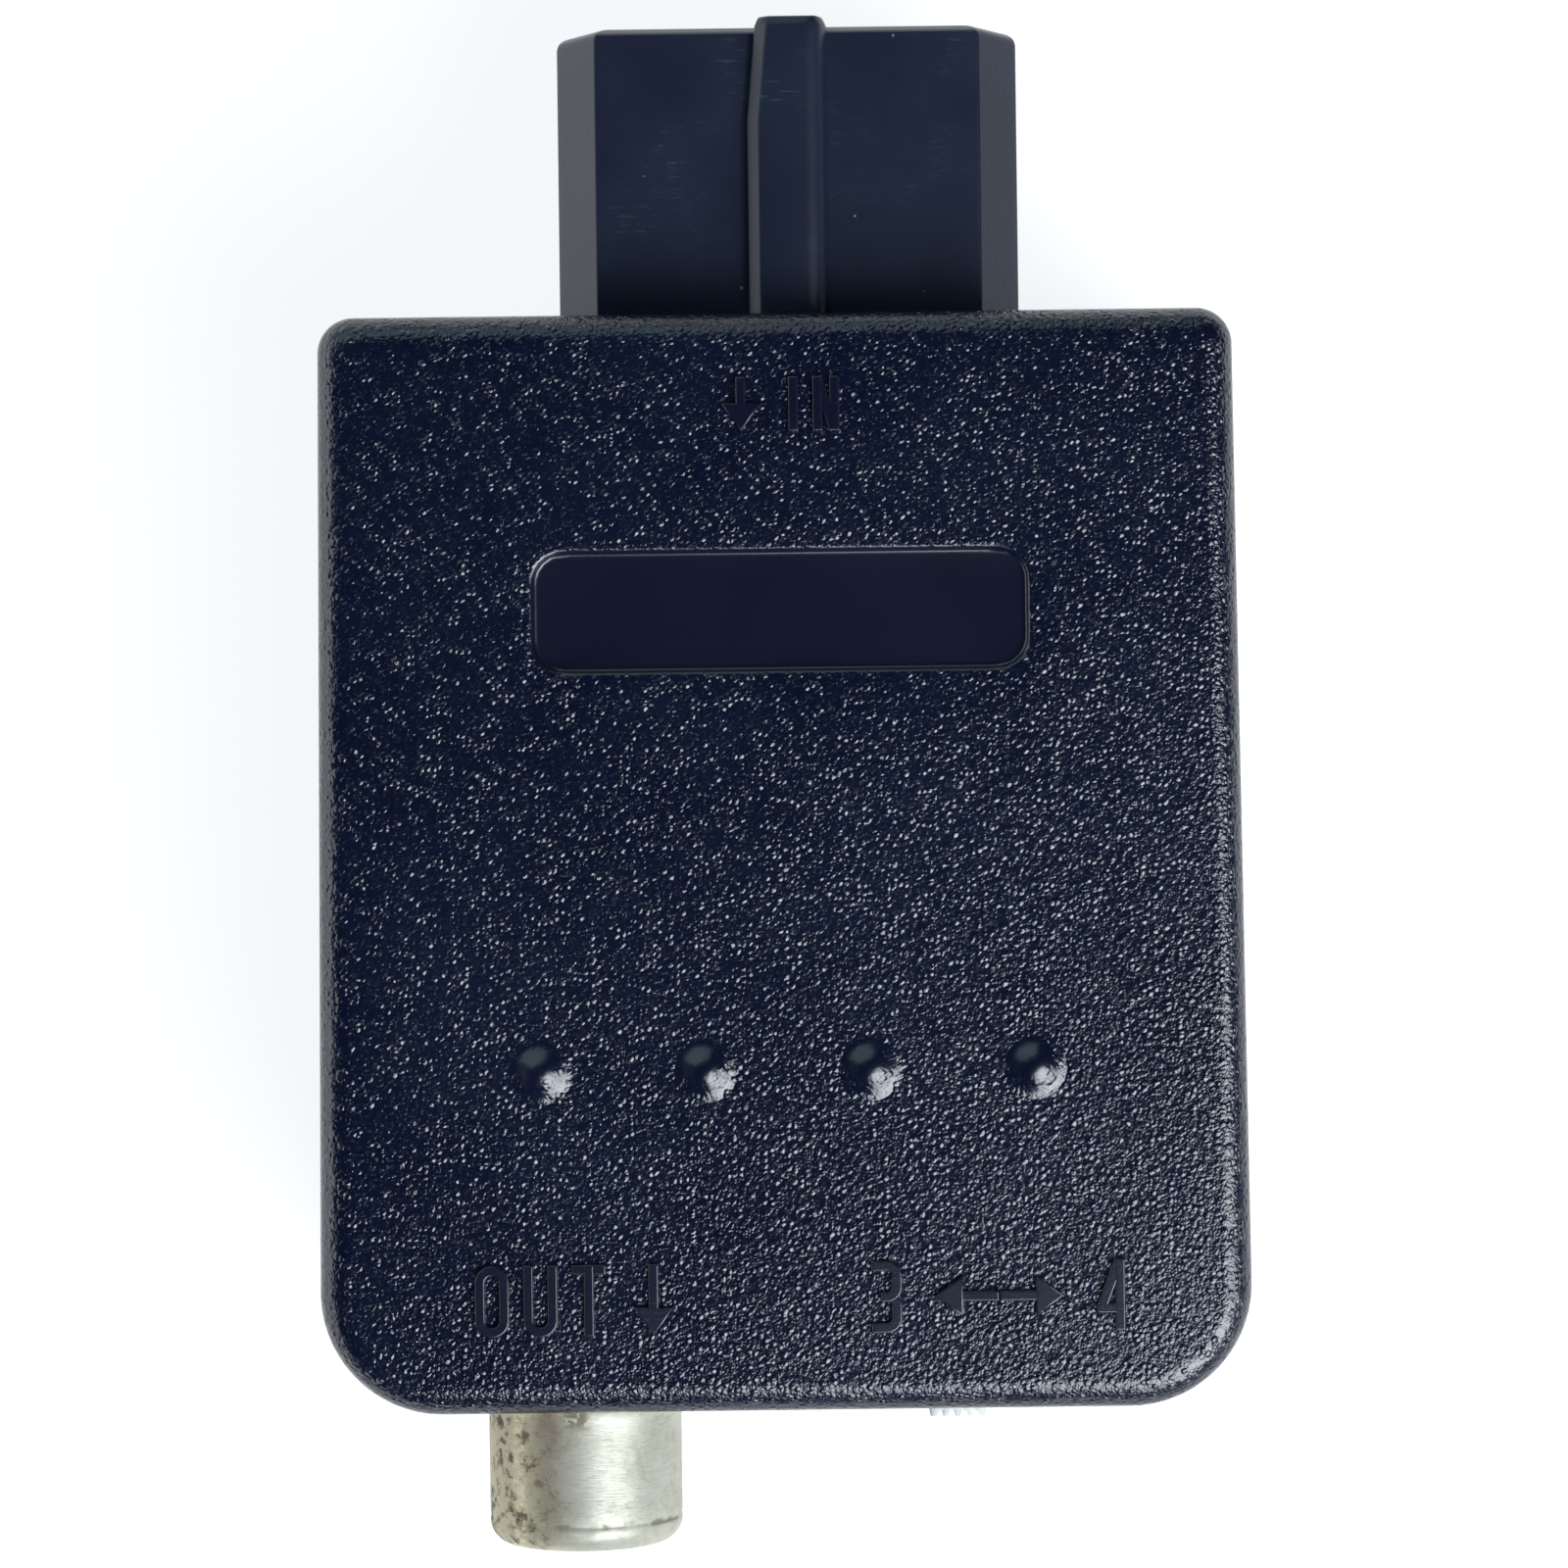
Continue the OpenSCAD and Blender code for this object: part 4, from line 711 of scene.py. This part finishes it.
def arrowHead(tip, back):
    # Triangle with its tip and the middle of its back given, raised with sloping sides
    along = (tip - back) / np.linalg.norm(tip - back)
    across = np.array([-along[1], along[0]]) * marks["headHalf"]
    flat = np.array([tip, back + across, back - across])
    middle = flat.mean(0)
    base, heights = case["depth"], [-marks["sunk"], *edgeHeights(marks["relief"])]
    rings = [np.column_stack([middle + share * (flat - middle), np.full(3, base + z)])
             for share, z in zip(marks["headShares"], heights)]
    return ringSurface(rings, [*middle, base + heights[0]], [*middle, base + heights[-1]])


def markShapes():
    # Bars, bowls and arrows, each mark laid out from its lower left corner
    m, parts = marks, []
    s, gap, w, h, headHalf = m["stroke"] / 2, m["gap"], m["letter"], m["height"], m["headHalf"]

    def stroke(path, closed=False, lower=0.0):
        parts.append(strokeSurface(path, closed, lower))

    def bar(x0, y0, x1, y1):
        stroke([(x0, y0), (x1, y1)], lower=m["lower"] * (len(parts) % 3 + 1))

    def arrow(x0, y0, x1, y1):
        start, tip = np.array([x0, y0], float), np.array([x1, y1], float)
        unit = (tip - start) / np.linalg.norm(tip - start)
        bar(*start, *(tip - unit * m["head"] * m["neckShare"]))
        parts.append(arrowHead(tip, tip - unit * m["head"]))

    # way in, by the plug
    x, y = m["wayIn"]
    top = y + m["smallHeight"]
    arrow(x + headHalf, top, x + headHalf, y)
    x += 2 * (headHalf + gap)
    bar(x + s, y, x + s, top)
    x += m["stroke"] + gap
    far = x + m["smallLetter"] - s
    bar(x + s, y, x + s, top)
    bar(far, y, far, top)
    bar(x + s, top - m["tuck"], far, y + m["tuck"])

    # way out, by the jack
    x, y = m["wayOut"]
    top, r = y + h, w / 2
    stroke(np.vstack([arc((x + r, y + r), r - s, 180, 360, 20),
                      arc((x + r, top - r), r - s, 0, 180, 20)]), True)
    x += w + gap
    stroke([(x + s, top), *arc((x + r, y + r), r - s, 180, 360, 20), (x + w - s, top)])
    x += w + gap
    bar(x, top - s, x + w, top - s)
    bar(x + r, y, x + r, top)
    x += w + 2 * gap + headHalf
    arrow(x, top, x, y)

    # two channels with a double arrow between them, over the knob
    centre, span, bend, mid = case["knobHole"]["x"], m["span"], m["bowl"], y + h / 2
    x = centre - span - m["digitGap"] - m["digit"]
    waist, turn = x + m["digit"] * m["waistShare"], x + m["digit"] - s - bend
    stroke([(x, y + s), *arc((turn, y + s + bend), bend, 270, 360, 9),
            *arc((turn, mid - bend), bend, 0, 90, 9), (waist, mid)], lower=m["lower"])
    stroke([(waist, mid), *arc((turn, mid + bend), bend, 270, 360, 9),
            *arc((turn, top - s - bend), bend, 0, 90, 9), (x, top - s)])
    for way in (1, -1):
        arrow(centre, mid, centre + way * span, mid)
    x = centre + span + m["digitGap"]
    stem, shelf = x + m["digit"] * m["stemShare"] + s, y + h * m["shelfShare"] + s
    bar(stem, y, stem, top)
    bar(x, shelf, x + m["digit"], shelf)
    bar(x + s, y + m["slantFoot"], stem, top - m["tuck"])
    return joined(parts)


addPiece("frontMarks", markShapes(), "case_body", markFinish, sharp=60)
print("front half built")

# back half of the case and its screws

softenedCopy("rearCase", "rear_shell", rearFinish, 0.1)
screwFinish = sheetMetal("zinc screws", (0.62, 0.63, 0.64), (0.5, 0.51, 0.52), 0.3, 0.8)
softenedCopy("backScrews", "case_screws", screwFinish, 0.06)
print("back half built")

# plug

plug = {
    "x": case["plugHole"]["x"], "z": midPlane, "half": 9.8, "rise": 4.8,
    "chamferWidth": case["plugHole"]["chamferWidth"], "chamferDepth": case["plugHole"]["chamferRise"],
    "edge": 0.14, "back": 15.6, "flangeBack": 18.1, "flangeFront": 20.9, "flange": 1.2,
    "tip": 35.2, "tipCorner": 0.6, "tipBevel": 0.28, "tipDrop": 0.55, "slotHalf": 7.9, "slotRise": 2.5,
    "slotFloor": 25.7, "pocketHalf": 8.1, "pocketRise": 3.2, "pocketFloor": 23.7,
    "slotCorner": 0.1, "slotBevel": 0.12, "backBevel": 0.1, "slices": 14,
}


def plugOutline(grow, edge):
    # Hexagonal section with chamfered front corners, in x and z about the plug's axis
    w, t = plug["half"] + grow, plug["rise"] + grow
    cw, cd = plug["chamferWidth"], plug["chamferDepth"]
    corners = [(-w, -t), (w, -t), (w, t - cd), (w - cw, t), (-w + cw, t), (-w, t - cd)]
    return roundedOutline(corners, edge, 5)


def boxOutline(half, rise, edge):
    # Rectangle about the plug's axis with rounded corners
    return roundedOutline([(-half, -rise), (half, -rise), (half, rise), (-half, rise)], edge, 4)


def plugHousing():
    # Rings round the plug's axis at matching angles: out of the back pocket, over
    # the flange and the long sides to the bevelled tip, then into the slot
    p = plug
    bevel = p["slotBevel"]
    lines = [plugOutline(0, p["edge"]), plugOutline(p["flange"], p["edge"]),
             boxOutline(p["pocketHalf"], p["pocketRise"], p["slotCorner"]),
             boxOutline(p["slotHalf"], p["slotRise"], p["slotCorner"]),
             boxOutline(p["slotHalf"] + bevel, p["slotRise"] + bevel, 2 * p["slotCorner"])]
    angles = [np.arctan2(line[:, 1], line[:, 0]) for line in lines[:4]]
    angles = np.concatenate(angles + [np.radians(np.arange(-180, 180, 3.0))])
    angles = np.unique(np.round(np.mod(angles, 2 * math.pi), 4))
    side, flangeSide, pocketSide, slotSide, wideSlot = [byAngle(line, angles) for line in lines]
    rings = []

    def ring(xz, y, narrow=0.0, thin=0.0):
        x = xz[:, 0] * (p["half"] - narrow) / p["half"] + p["x"]
        z = xz[:, 1] * (p["rise"] - thin) / p["rise"] + p["z"]
        rings.append(np.column_stack([x, np.full(len(x), y), z]))

    ring(pocketSide, p["pocketFloor"])
    ring(pocketSide, p["back"])
    ring(side, p["back"], p["backBevel"], p["backBevel"])
    ring(side, p["back"] + p["backBevel"])
    ring(side, p["flangeBack"])
    ring(flangeSide, p["flangeBack"])
    ring(flangeSide, p["flangeFront"])
    ring(side, p["flangeFront"])
    for y in np.linspace(p["flangeFront"], p["tip"] - p["tipCorner"], p["slices"])[1:]:
        ring(side, y)
    for a in np.radians(np.linspace(0, 90, 11))[1:]:
        y = p["tip"] - p["tipCorner"] * (1 - math.sin(a))
        thin = max(0.0, y - (p["tip"] - p["tipBevel"])) * p["tipDrop"] / p["tipBevel"]
        ring(side, y, p["tipCorner"] * (1 - math.cos(a)), thin)
    ring(wideSlot, p["tip"])
    for y in np.linspace(p["tip"] - bevel, p["slotFloor"], 6):
        ring(slotSide, y)
    return ringSurface(rings, [p["x"], p["pocketFloor"], p["z"]], [p["x"], p["slotFloor"], p["z"]])


key = {
    "x": plug["x"], "half": 1.7, "base": 13.4, "rise": 1.05, "start": 22.95, "end": 35.5,
    "taper": 0.4, "taperStart": 31.1, "slope": 0.48, "rightRound": 0.98,
    # stations along the rib, then distances from its end with how far the tip draws in
    "stations": (25.0, 28.0, 31.1, 32.0, 33.0, 34.0),
    "tip": ((0.4, 0.0), (0.3, 0.03), (0.1, 0.12), (0.03, 0.17), (0.0, 0.25)),
}


def keyRib():
    # Section with a broad chamfer on the left and a round right shoulder, carried
    # along the plug; the left side draws in towards the tip
    k = key
    w, h = k["half"], k["rise"]
    right = [(w - k["rightRound"] * (1 - math.cos(a)), h - k["rightRound"] * (1 - math.sin(a)))
             for a in np.radians(np.linspace(0, 90, 8))]
    run = k["slope"]
    # the chamfer's two edges are softened by three points each
    section = np.array([(-w, 0), (w, 0), *right, (-w + run + 0.12, h), (-w + run + 0.04, h - 0.02),
                        (-w + run - 0.04, h - 0.07), (-w + 0.06, h - 1.02 * run),
                        (-w + 0.015, h - 1.12 * run), (-w, h - 1.12 * run - 0.08)])
    stops = [(y, 0.0) for y in (k["start"], *k["stations"])]
    stops += [(k["end"] - back, inset) for back, inset in k["tip"]]
    rings = []
    for y, inset in stops:
        step = k["taper"] * max(0.0, (y - k["taperStart"]) / (k["end"] - k["taperStart"]))
        x = section[:, 0] + np.where(section[:, 0] < 0, step, 0)
        x = x * (w - inset) / w
        z = np.minimum(section[:, 1], h - inset)
        rings.append(np.column_stack([x + k["x"], np.full(len(x), y), z + k["base"]]))
    return ringSurface(rings, *[[k["x"], k[end], k["base"] + h / 2] for end in ("start", "end")])


plugFinish = smoothPlastic("satin plug", (0.009, 0.0135, 0.031), (0.012, 0.0185, 0.039), 0.32, 0.4,
                           0.006, 1.55, plug["x"] + plug["half"] - plug["chamferWidth"])
addPiece("plugHousing", plugHousing(), "case_body", plugFinish, ["plug_housing"],
         30, True)
addPiece("plugKey", keyRib(), "case_body", plugFinish, sharp=35, flip=True)
print("plug built")

# jack

jack = {
    "x": case["jackHole"]["x"], "z": midPlane, "radius": 4.15, "collar": 4.5, "flange": 4.8,
    "flangeThickness": 0.5, "bore": 3.55, "mouth": 2.8, "seat": 19.4, "tip": 29.3,
    "collarRings": (21.0, 22.4), "collarEnd": 23.1, "flare": 0.7, "flareStep": 0.05,
    "barrelStart": 24.4, "rimRound": 1.0, "rim": 0.6, "lip": 0.14,
    # depth of the shallow groove behind the rim, at distances back from the rim's round
    "groove": ((0.02, 0.22), (0.035, 0.15), (0.02, 0.07), (0.0, 0.0)), "grooveStart": 0.3,
}


def turned(profile, count=96):
    # Radius and distance out along the jack's axis, turned about that axis
    circle = unitCircle(count)
    rings = [np.column_stack([jack["x"] + r * circle[:, 0], np.full(count, -out),
                              jack["z"] + r * circle[:, 1]]) for r, out in profile]
    return ringSurface(rings, loop=True)


def sleeveProfile():
    # Flange, collar, soft concave flare, barrel, groove, round rim and inner wall
    j = jack
    radius, lip, shoulder = j["radius"], j["lip"], j["tip"] - j["rimRound"]
    flangeEnd = j["seat"] + j["flangeThickness"]
    profile = [(j["bore"], j["seat"]), (j["flange"], j["seat"]), (j["flange"], flangeEnd),
               (j["collar"], flangeEnd)]
    profile += [(j["collar"], out) for out in (*j["collarRings"], j["collarEnd"] - 0.25)]
    for t in np.linspace(0, 1, 7):
        profile.append((radius + (j["collar"] - j["flareStep"] - radius) * (1 - t) ** 2,
                        j["collarEnd"] + j["flare"] * t))
    profile += [(radius, out) for out in np.linspace(j["barrelStart"], shoulder - j["grooveStart"], 8)]
    profile += [(radius - deep, shoulder - back) for deep, back in j["groove"]]
    for a in np.radians(np.linspace(0, 84, 13))[1:]:
        profile.append((radius - j["rimRound"] * (1 - math.cos(a)),
                        j["tip"] - j["rimRound"] * (1 - math.sin(a))))
    profile += [(j["mouth"] + lip * (1 - math.sin(a)), j["tip"] - lip * (1 - math.cos(a)))
                for a in np.radians((0, 30, 60, 90))]
    profile += [(j["mouth"], j["tip"] - j["rim"]), (j["bore"], j["tip"] - j["rim"])]
    return profile


insulator = {
    "tail": 0.65, "spigot": 2.7, "body": 3.5, "nose": 2.75, "entry": 1.8, "tube": 2.15,
    "back": 18.2, "floor": 19.95, "recess": 0.5, "noseLength": 0.15, "face": 1.3, "edge": 0.1,
}


def insulatorProfile():
    # Spigot, body and nose outside, then the entry and the bore for the centre tube
    i = insulator
    tip = jack["tip"] - i["recess"]
    shoulder, face = tip - i["noseLength"], tip - i["face"]
    return [(i["tail"], i["back"]), (i["spigot"], i["back"]), (i["spigot"], jack["seat"]),
            (i["body"], jack["seat"]), (i["body"], shoulder), (i["nose"], shoulder),
            (i["nose"], tip - i["edge"]), (i["nose"] - i["edge"], tip), (i["entry"] + i["edge"], tip),
            (i["entry"] + 0.02, tip - 0.06), (i["entry"], shoulder), (i["entry"], face),
            (i["tube"], face), (i["tube"], i["floor"]), (i["tail"], i["floor"])]


sleeveFinish = sleeveMetal("tarnished sleeve with painted light")
insulatorFinish = smoothPlastic("cream insulator", (0.66, 0.64, 0.56), (0.58, 0.555, 0.47), 0.4, 0.04,
                                gloss=1.5)
contactFinish = sheetMetal("tinned brass", (0.78, 0.66, 0.42), (0.66, 0.54, 0.33), 0.26, 1.2)
addPiece("jackSleeve", turned(sleeveProfile()), "case_body", sleeveFinish,
         ["jack_sleeve"], 40)
addPiece("jackInsulator", turned(insulatorProfile()), "case_body",
         insulatorFinish, ["jack_insulator"], 40)
softenedCopy("jackCentre", "jack_contact", contactFinish, 0.05)
print("jack built")

# switch knob

knob = {
    "left": 6.1, "right": 8.5, "tip": -24.0, "root": -19.2, "low": 7.15, "high": 10.35,
    "rib": 0.25, "ribs": 5, "shoulder": 0.12, "round": 0.15,
    "plateX": (4.8, 9.8), "plateY": (-20.1, -18.3), "plateZ": (6.35, 11.15), "plateCorner": 0.3,
}


def pillow(outline, low, high, edge):
    # A flat outline carried upwards, its top and bottom drawn in to round the edges
    outline = np.asarray(outline, float)
    middle = (outline.min(0) + outline.max(0)) / 2
    half = (outline.max(0) - outline.min(0)) / 2
    rings = []
    for inset, z in ((edge, low), (edge * 0.3, low + edge * 0.3), (0, low + edge), (0, high - edge),
                     (edge * 0.3, high - edge * 0.3), (edge, high)):
        flat = middle + (outline - middle) * (half - inset) / half
        rings.append(np.column_stack([flat, np.full(len(flat), z)]))
    return ringSurface(rings, [*middle, low], [*middle, high])


def knobOutline():
    # Straight sides, and a tip that waves in and out once for each rib
    k = knob
    x = np.linspace(k["left"], k["right"], 81)[1:-1]
    phase = (x - k["left"]) / (k["right"] - k["left"]) * (2 * k["ribs"] - 1) * math.pi
    depth = k["rib"] * np.clip(0.5 - 1.1 * np.sin(phase), 0, 1)
    wave = np.column_stack([x, k["tip"] + depth])
    shoulder = k["tip"] + k["shoulder"]
    return np.vstack([[(k["left"], k["root"]), (k["left"], shoulder)], wave,
                      [(k["right"], shoulder), (k["right"], k["root"])]])


def knobShape():
    # The ribbed knob and the flat plate behind it that slides in the switch's frame
    (x0, x1), (y0, y1) = knob["plateX"], knob["plateY"]
    plate = roundedOutline([(x0, y0), (x1, y0), (x1, y1), (x0, y1)], knob["plateCorner"], 5)
    return joined([pillow(knobOutline(), knob["low"], knob["high"], knob["round"]),
                   pillow(plate, *knob["plateZ"], knob["round"])])


knobFinish = smoothPlastic("pale knob", (0.6, 0.61, 0.585), (0.66, 0.67, 0.64), 0.42, 0.06, gloss=1.5)
addPiece("switchKnob", knobShape(), "switch_knob", knobFinish, ["switch_slider"], 40)
print("knob built")

# pieces inside, kept as the CAD has them

tin = sheetMetal("tinned sheet", (0.72, 0.71, 0.68), (0.6, 0.59, 0.55), 0.28, 3.0)
finishes = {
    "contact_retainer": mattPart("black block", (0.014, 0.014, 0.016), (0.022, 0.022, 0.025), 0.45),
    "plug_contacts": sheetMetal("gold flashed contacts", (0.86, 0.64, 0.27), (0.74, 0.53, 0.22), 0.22,
                                1.5),
    "circuit_board": boardFinish("paper laminate", (0.33, 0.21, 0.08), (0.27, 0.165, 0.06)),
    "modulator_can": tin, "can_front_lid": tin, "can_rear_lid": tin,
    "modulator_board": boardFinish("green laminate", (0.03, 0.14, 0.06), (0.02, 0.1, 0.045)),
    "modulator_chip": mattPart("chip black", (0.012, 0.012, 0.013), (0.02, 0.02, 0.021), 0.5),
    "chip_parts": mattPart("chip ceramic", (0.42, 0.3, 0.17), (0.32, 0.22, 0.12), 0.4, 0.4),
    "ceramic_filter": mattPart("orange dip", (0.5, 0.2, 0.035), (0.42, 0.15, 0.025), 0.3, 1.2),
    "coil_former": mattPart("blue former", (0.03, 0.07, 0.35), (0.025, 0.055, 0.28), 0.4),
    "coil_winding": windingFinish("copper turns"),
    "tuning_slug": mattPart("ferrite", (0.03, 0.028, 0.026), (0.05, 0.047, 0.043), 0.6, 0.3, 0.02),
    "feed_pins": tin,
    "switch_frame": sheetMetal("switch frame", (0.66, 0.66, 0.64), (0.55, 0.55, 0.53), 0.3, 2.0),
    "switch_base": boardFinish("brown board", (0.16, 0.075, 0.03), (0.12, 0.055, 0.022)),
    "switch_terminals": sheetMetal("silvered terminals", (0.8, 0.78, 0.72), (0.66, 0.64, 0.58), 0.3,
                                   1.0),
    "switch_wiper": sheetMetal("bronze wiper", (0.72, 0.5, 0.24), (0.6, 0.4, 0.18), 0.28, 1.0),
    "electrolytic_capacitors": mattPart("navy sleeve", (0.02, 0.03, 0.11), (0.026, 0.038, 0.13), 0.3,
                                        1.5),
    "ceramic_capacitors": mattPart("tan discs", (0.48, 0.28, 0.1), (0.4, 0.22, 0.075), 0.45, 0.7),
    "resistors": mattPart("beige bodies", (0.5, 0.38, 0.22), (0.43, 0.32, 0.18), 0.42, 0.8),
    "transistors": mattPart("black bodies", (0.012, 0.012, 0.013), (0.02, 0.02, 0.022), 0.45),
    "choke": mattPart("choke ferrite", (0.035, 0.033, 0.032), (0.055, 0.052, 0.05), 0.55, 0.3, 0.02),
}
for name, material in finishes.items():
    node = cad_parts[name]
    if not node.material_slots:
        node.data.materials.append(material)
    for holder in node.material_slots:
        holder.material = material
print("inner finishes ready")

# floor, world, lights and camera

# floorReach and the lamps' distances and sizes are in metres, floorDrop and aimHeight in millimetres
studio = {
    "floorColour": (0.3, 0.3, 0.3), "floorGlow": 0.88, "glow": (0.98, 1.0, 1.02),
    "floorReach": 1.6, "floorDrop": 0.02, "sky": (0.012, 0.02, 0.045),
    "horizon": (0.11, 0.14, 0.18), "windowSide": (0.75, 0.88, 0.98), "backdrop": (0.93, 0.94, 0.95),
    "aimHeight": 10.0,
}
lamps = {
    "window": {"azimuth": -46, "elevation": 46, "distance": 0.17, "size": (0.19, 0.12),
               "power": 0.15, "colour": (0.93, 0.99, 1.05), "spread": 90},
    "top fill": {"azimuth": 117, "elevation": 34, "distance": 0.25, "size": (0.32, 0.13),
                 "power": 0.12, "colour": (0.6, 0.82, 0.9), "spread": 180},
    "left strip": {"azimuth": 176, "elevation": 13, "distance": 0.25, "size": (0.3, 0.08),
                   "power": 0.115, "colour": (0.93, 0.98, 1.0), "spread": 180},
}
# place in millimetres over the middle of the case's back, roll in radians
viewpoint = {"sensor": 36, "lens": 102.89, "near": 5.0, "place": (0.17, 3.22, 202.5), "roll": -0.01257}


def makeFloor():
    # Evenly lit pale card
    r = Recipe("pale floor")
    colour = r.blend(r.noise(60.0), studio["floorColour"], tuple(c * 1.03 for c in studio["floorColour"]))
    material = r.done(Base_Color=colour, Roughness=0.9, Emission_Color=studio["glow"],
                      Emission_Strength=studio["floorGlow"])
    mesh = bpy.data.meshes.new("floor")
    reach, low = studio["floorReach"], -studio["floorDrop"] * mm
    mesh.from_pydata([(-reach, -reach, low), (reach, -reach, low), (reach, reach, low),
                      (-reach, reach, low)], [], [(0, 1, 2, 3)])
    mesh.materials.append(material)
    floor = bpy.data.objects.new("floor", mesh)
    bpy.context.scene.collection.objects.link(floor)


def makeWorld():
    # Dark blue overhead, grey round the horizon and paler at its upper left, for
    # the light on the object; the camera sees a pale backdrop
    world = bpy.data.worlds.new("soft room")
    r = Recipe("soft room", world)
    x, y, z = r.axes(1.0)
    side = (y * 0.6 - x * 0.8).step(-0.1, 0.75)
    low = r.blend(side, studio["horizon"], studio["windowSide"])
    light = r.node("ShaderNodeBackground", values={0: r.blend(z.step(0.02, 0.28), low, studio["sky"])})
    backdrop = r.node("ShaderNodeBackground", values={0: studio["backdrop"]})
    seen = r.node("ShaderNodeLightPath", out="Is Camera Ray")
    picked = r.node("ShaderNodeMixShader", values={0: seen, 1: light, 2: backdrop})
    r.node("ShaderNodeOutputWorld", values={0: picked})
    bpy.context.scene.world = world


def addLamp(name, azimuth, elevation, distance, size, power, colour, spread):
    # A rectangular soft light, distance metres off, that faces the middle of the case
    a, e = math.radians(azimuth), math.radians(elevation)
    lamp = bpy.data.lights.new(name, "AREA")
    lamp.shape = "RECTANGLE"
    lamp.size, lamp.size_y = size
    lamp.energy = power
    lamp.color = colour
    lamp.spread = math.radians(spread)
    holder = bpy.data.objects.new(name, lamp)
    bpy.context.scene.collection.objects.link(holder)
    holder.location = (distance * math.cos(e) * math.cos(a), distance * math.cos(e) * math.sin(a),
                       distance * math.sin(e) + studio["aimHeight"] * mm)
    holder.rotation_euler = (math.radians(90) - e, 0, a + math.radians(90))
    holder.visible_camera = False


def makeCamera():
    # Straight down on the front face, rolled a little as in the photograph
    v = viewpoint
    lens = bpy.data.cameras.new("camera")
    lens.sensor_width, lens.lens, lens.clip_start = v["sensor"], v["lens"], v["near"] * mm
    holder = bpy.data.objects.new("camera", lens)
    bpy.context.scene.collection.objects.link(holder)
    holder.location = [place * mm for place in v["place"]]
    holder.rotation_euler = (0, 0, v["roll"])
    bpy.context.scene.camera = holder


makeFloor()
makeWorld()
for name, lamp in lamps.items():
    addLamp(name, **lamp)
makeCamera()
bpy.context.scene.view_settings.view_transform = "Standard"
print("studio ready")
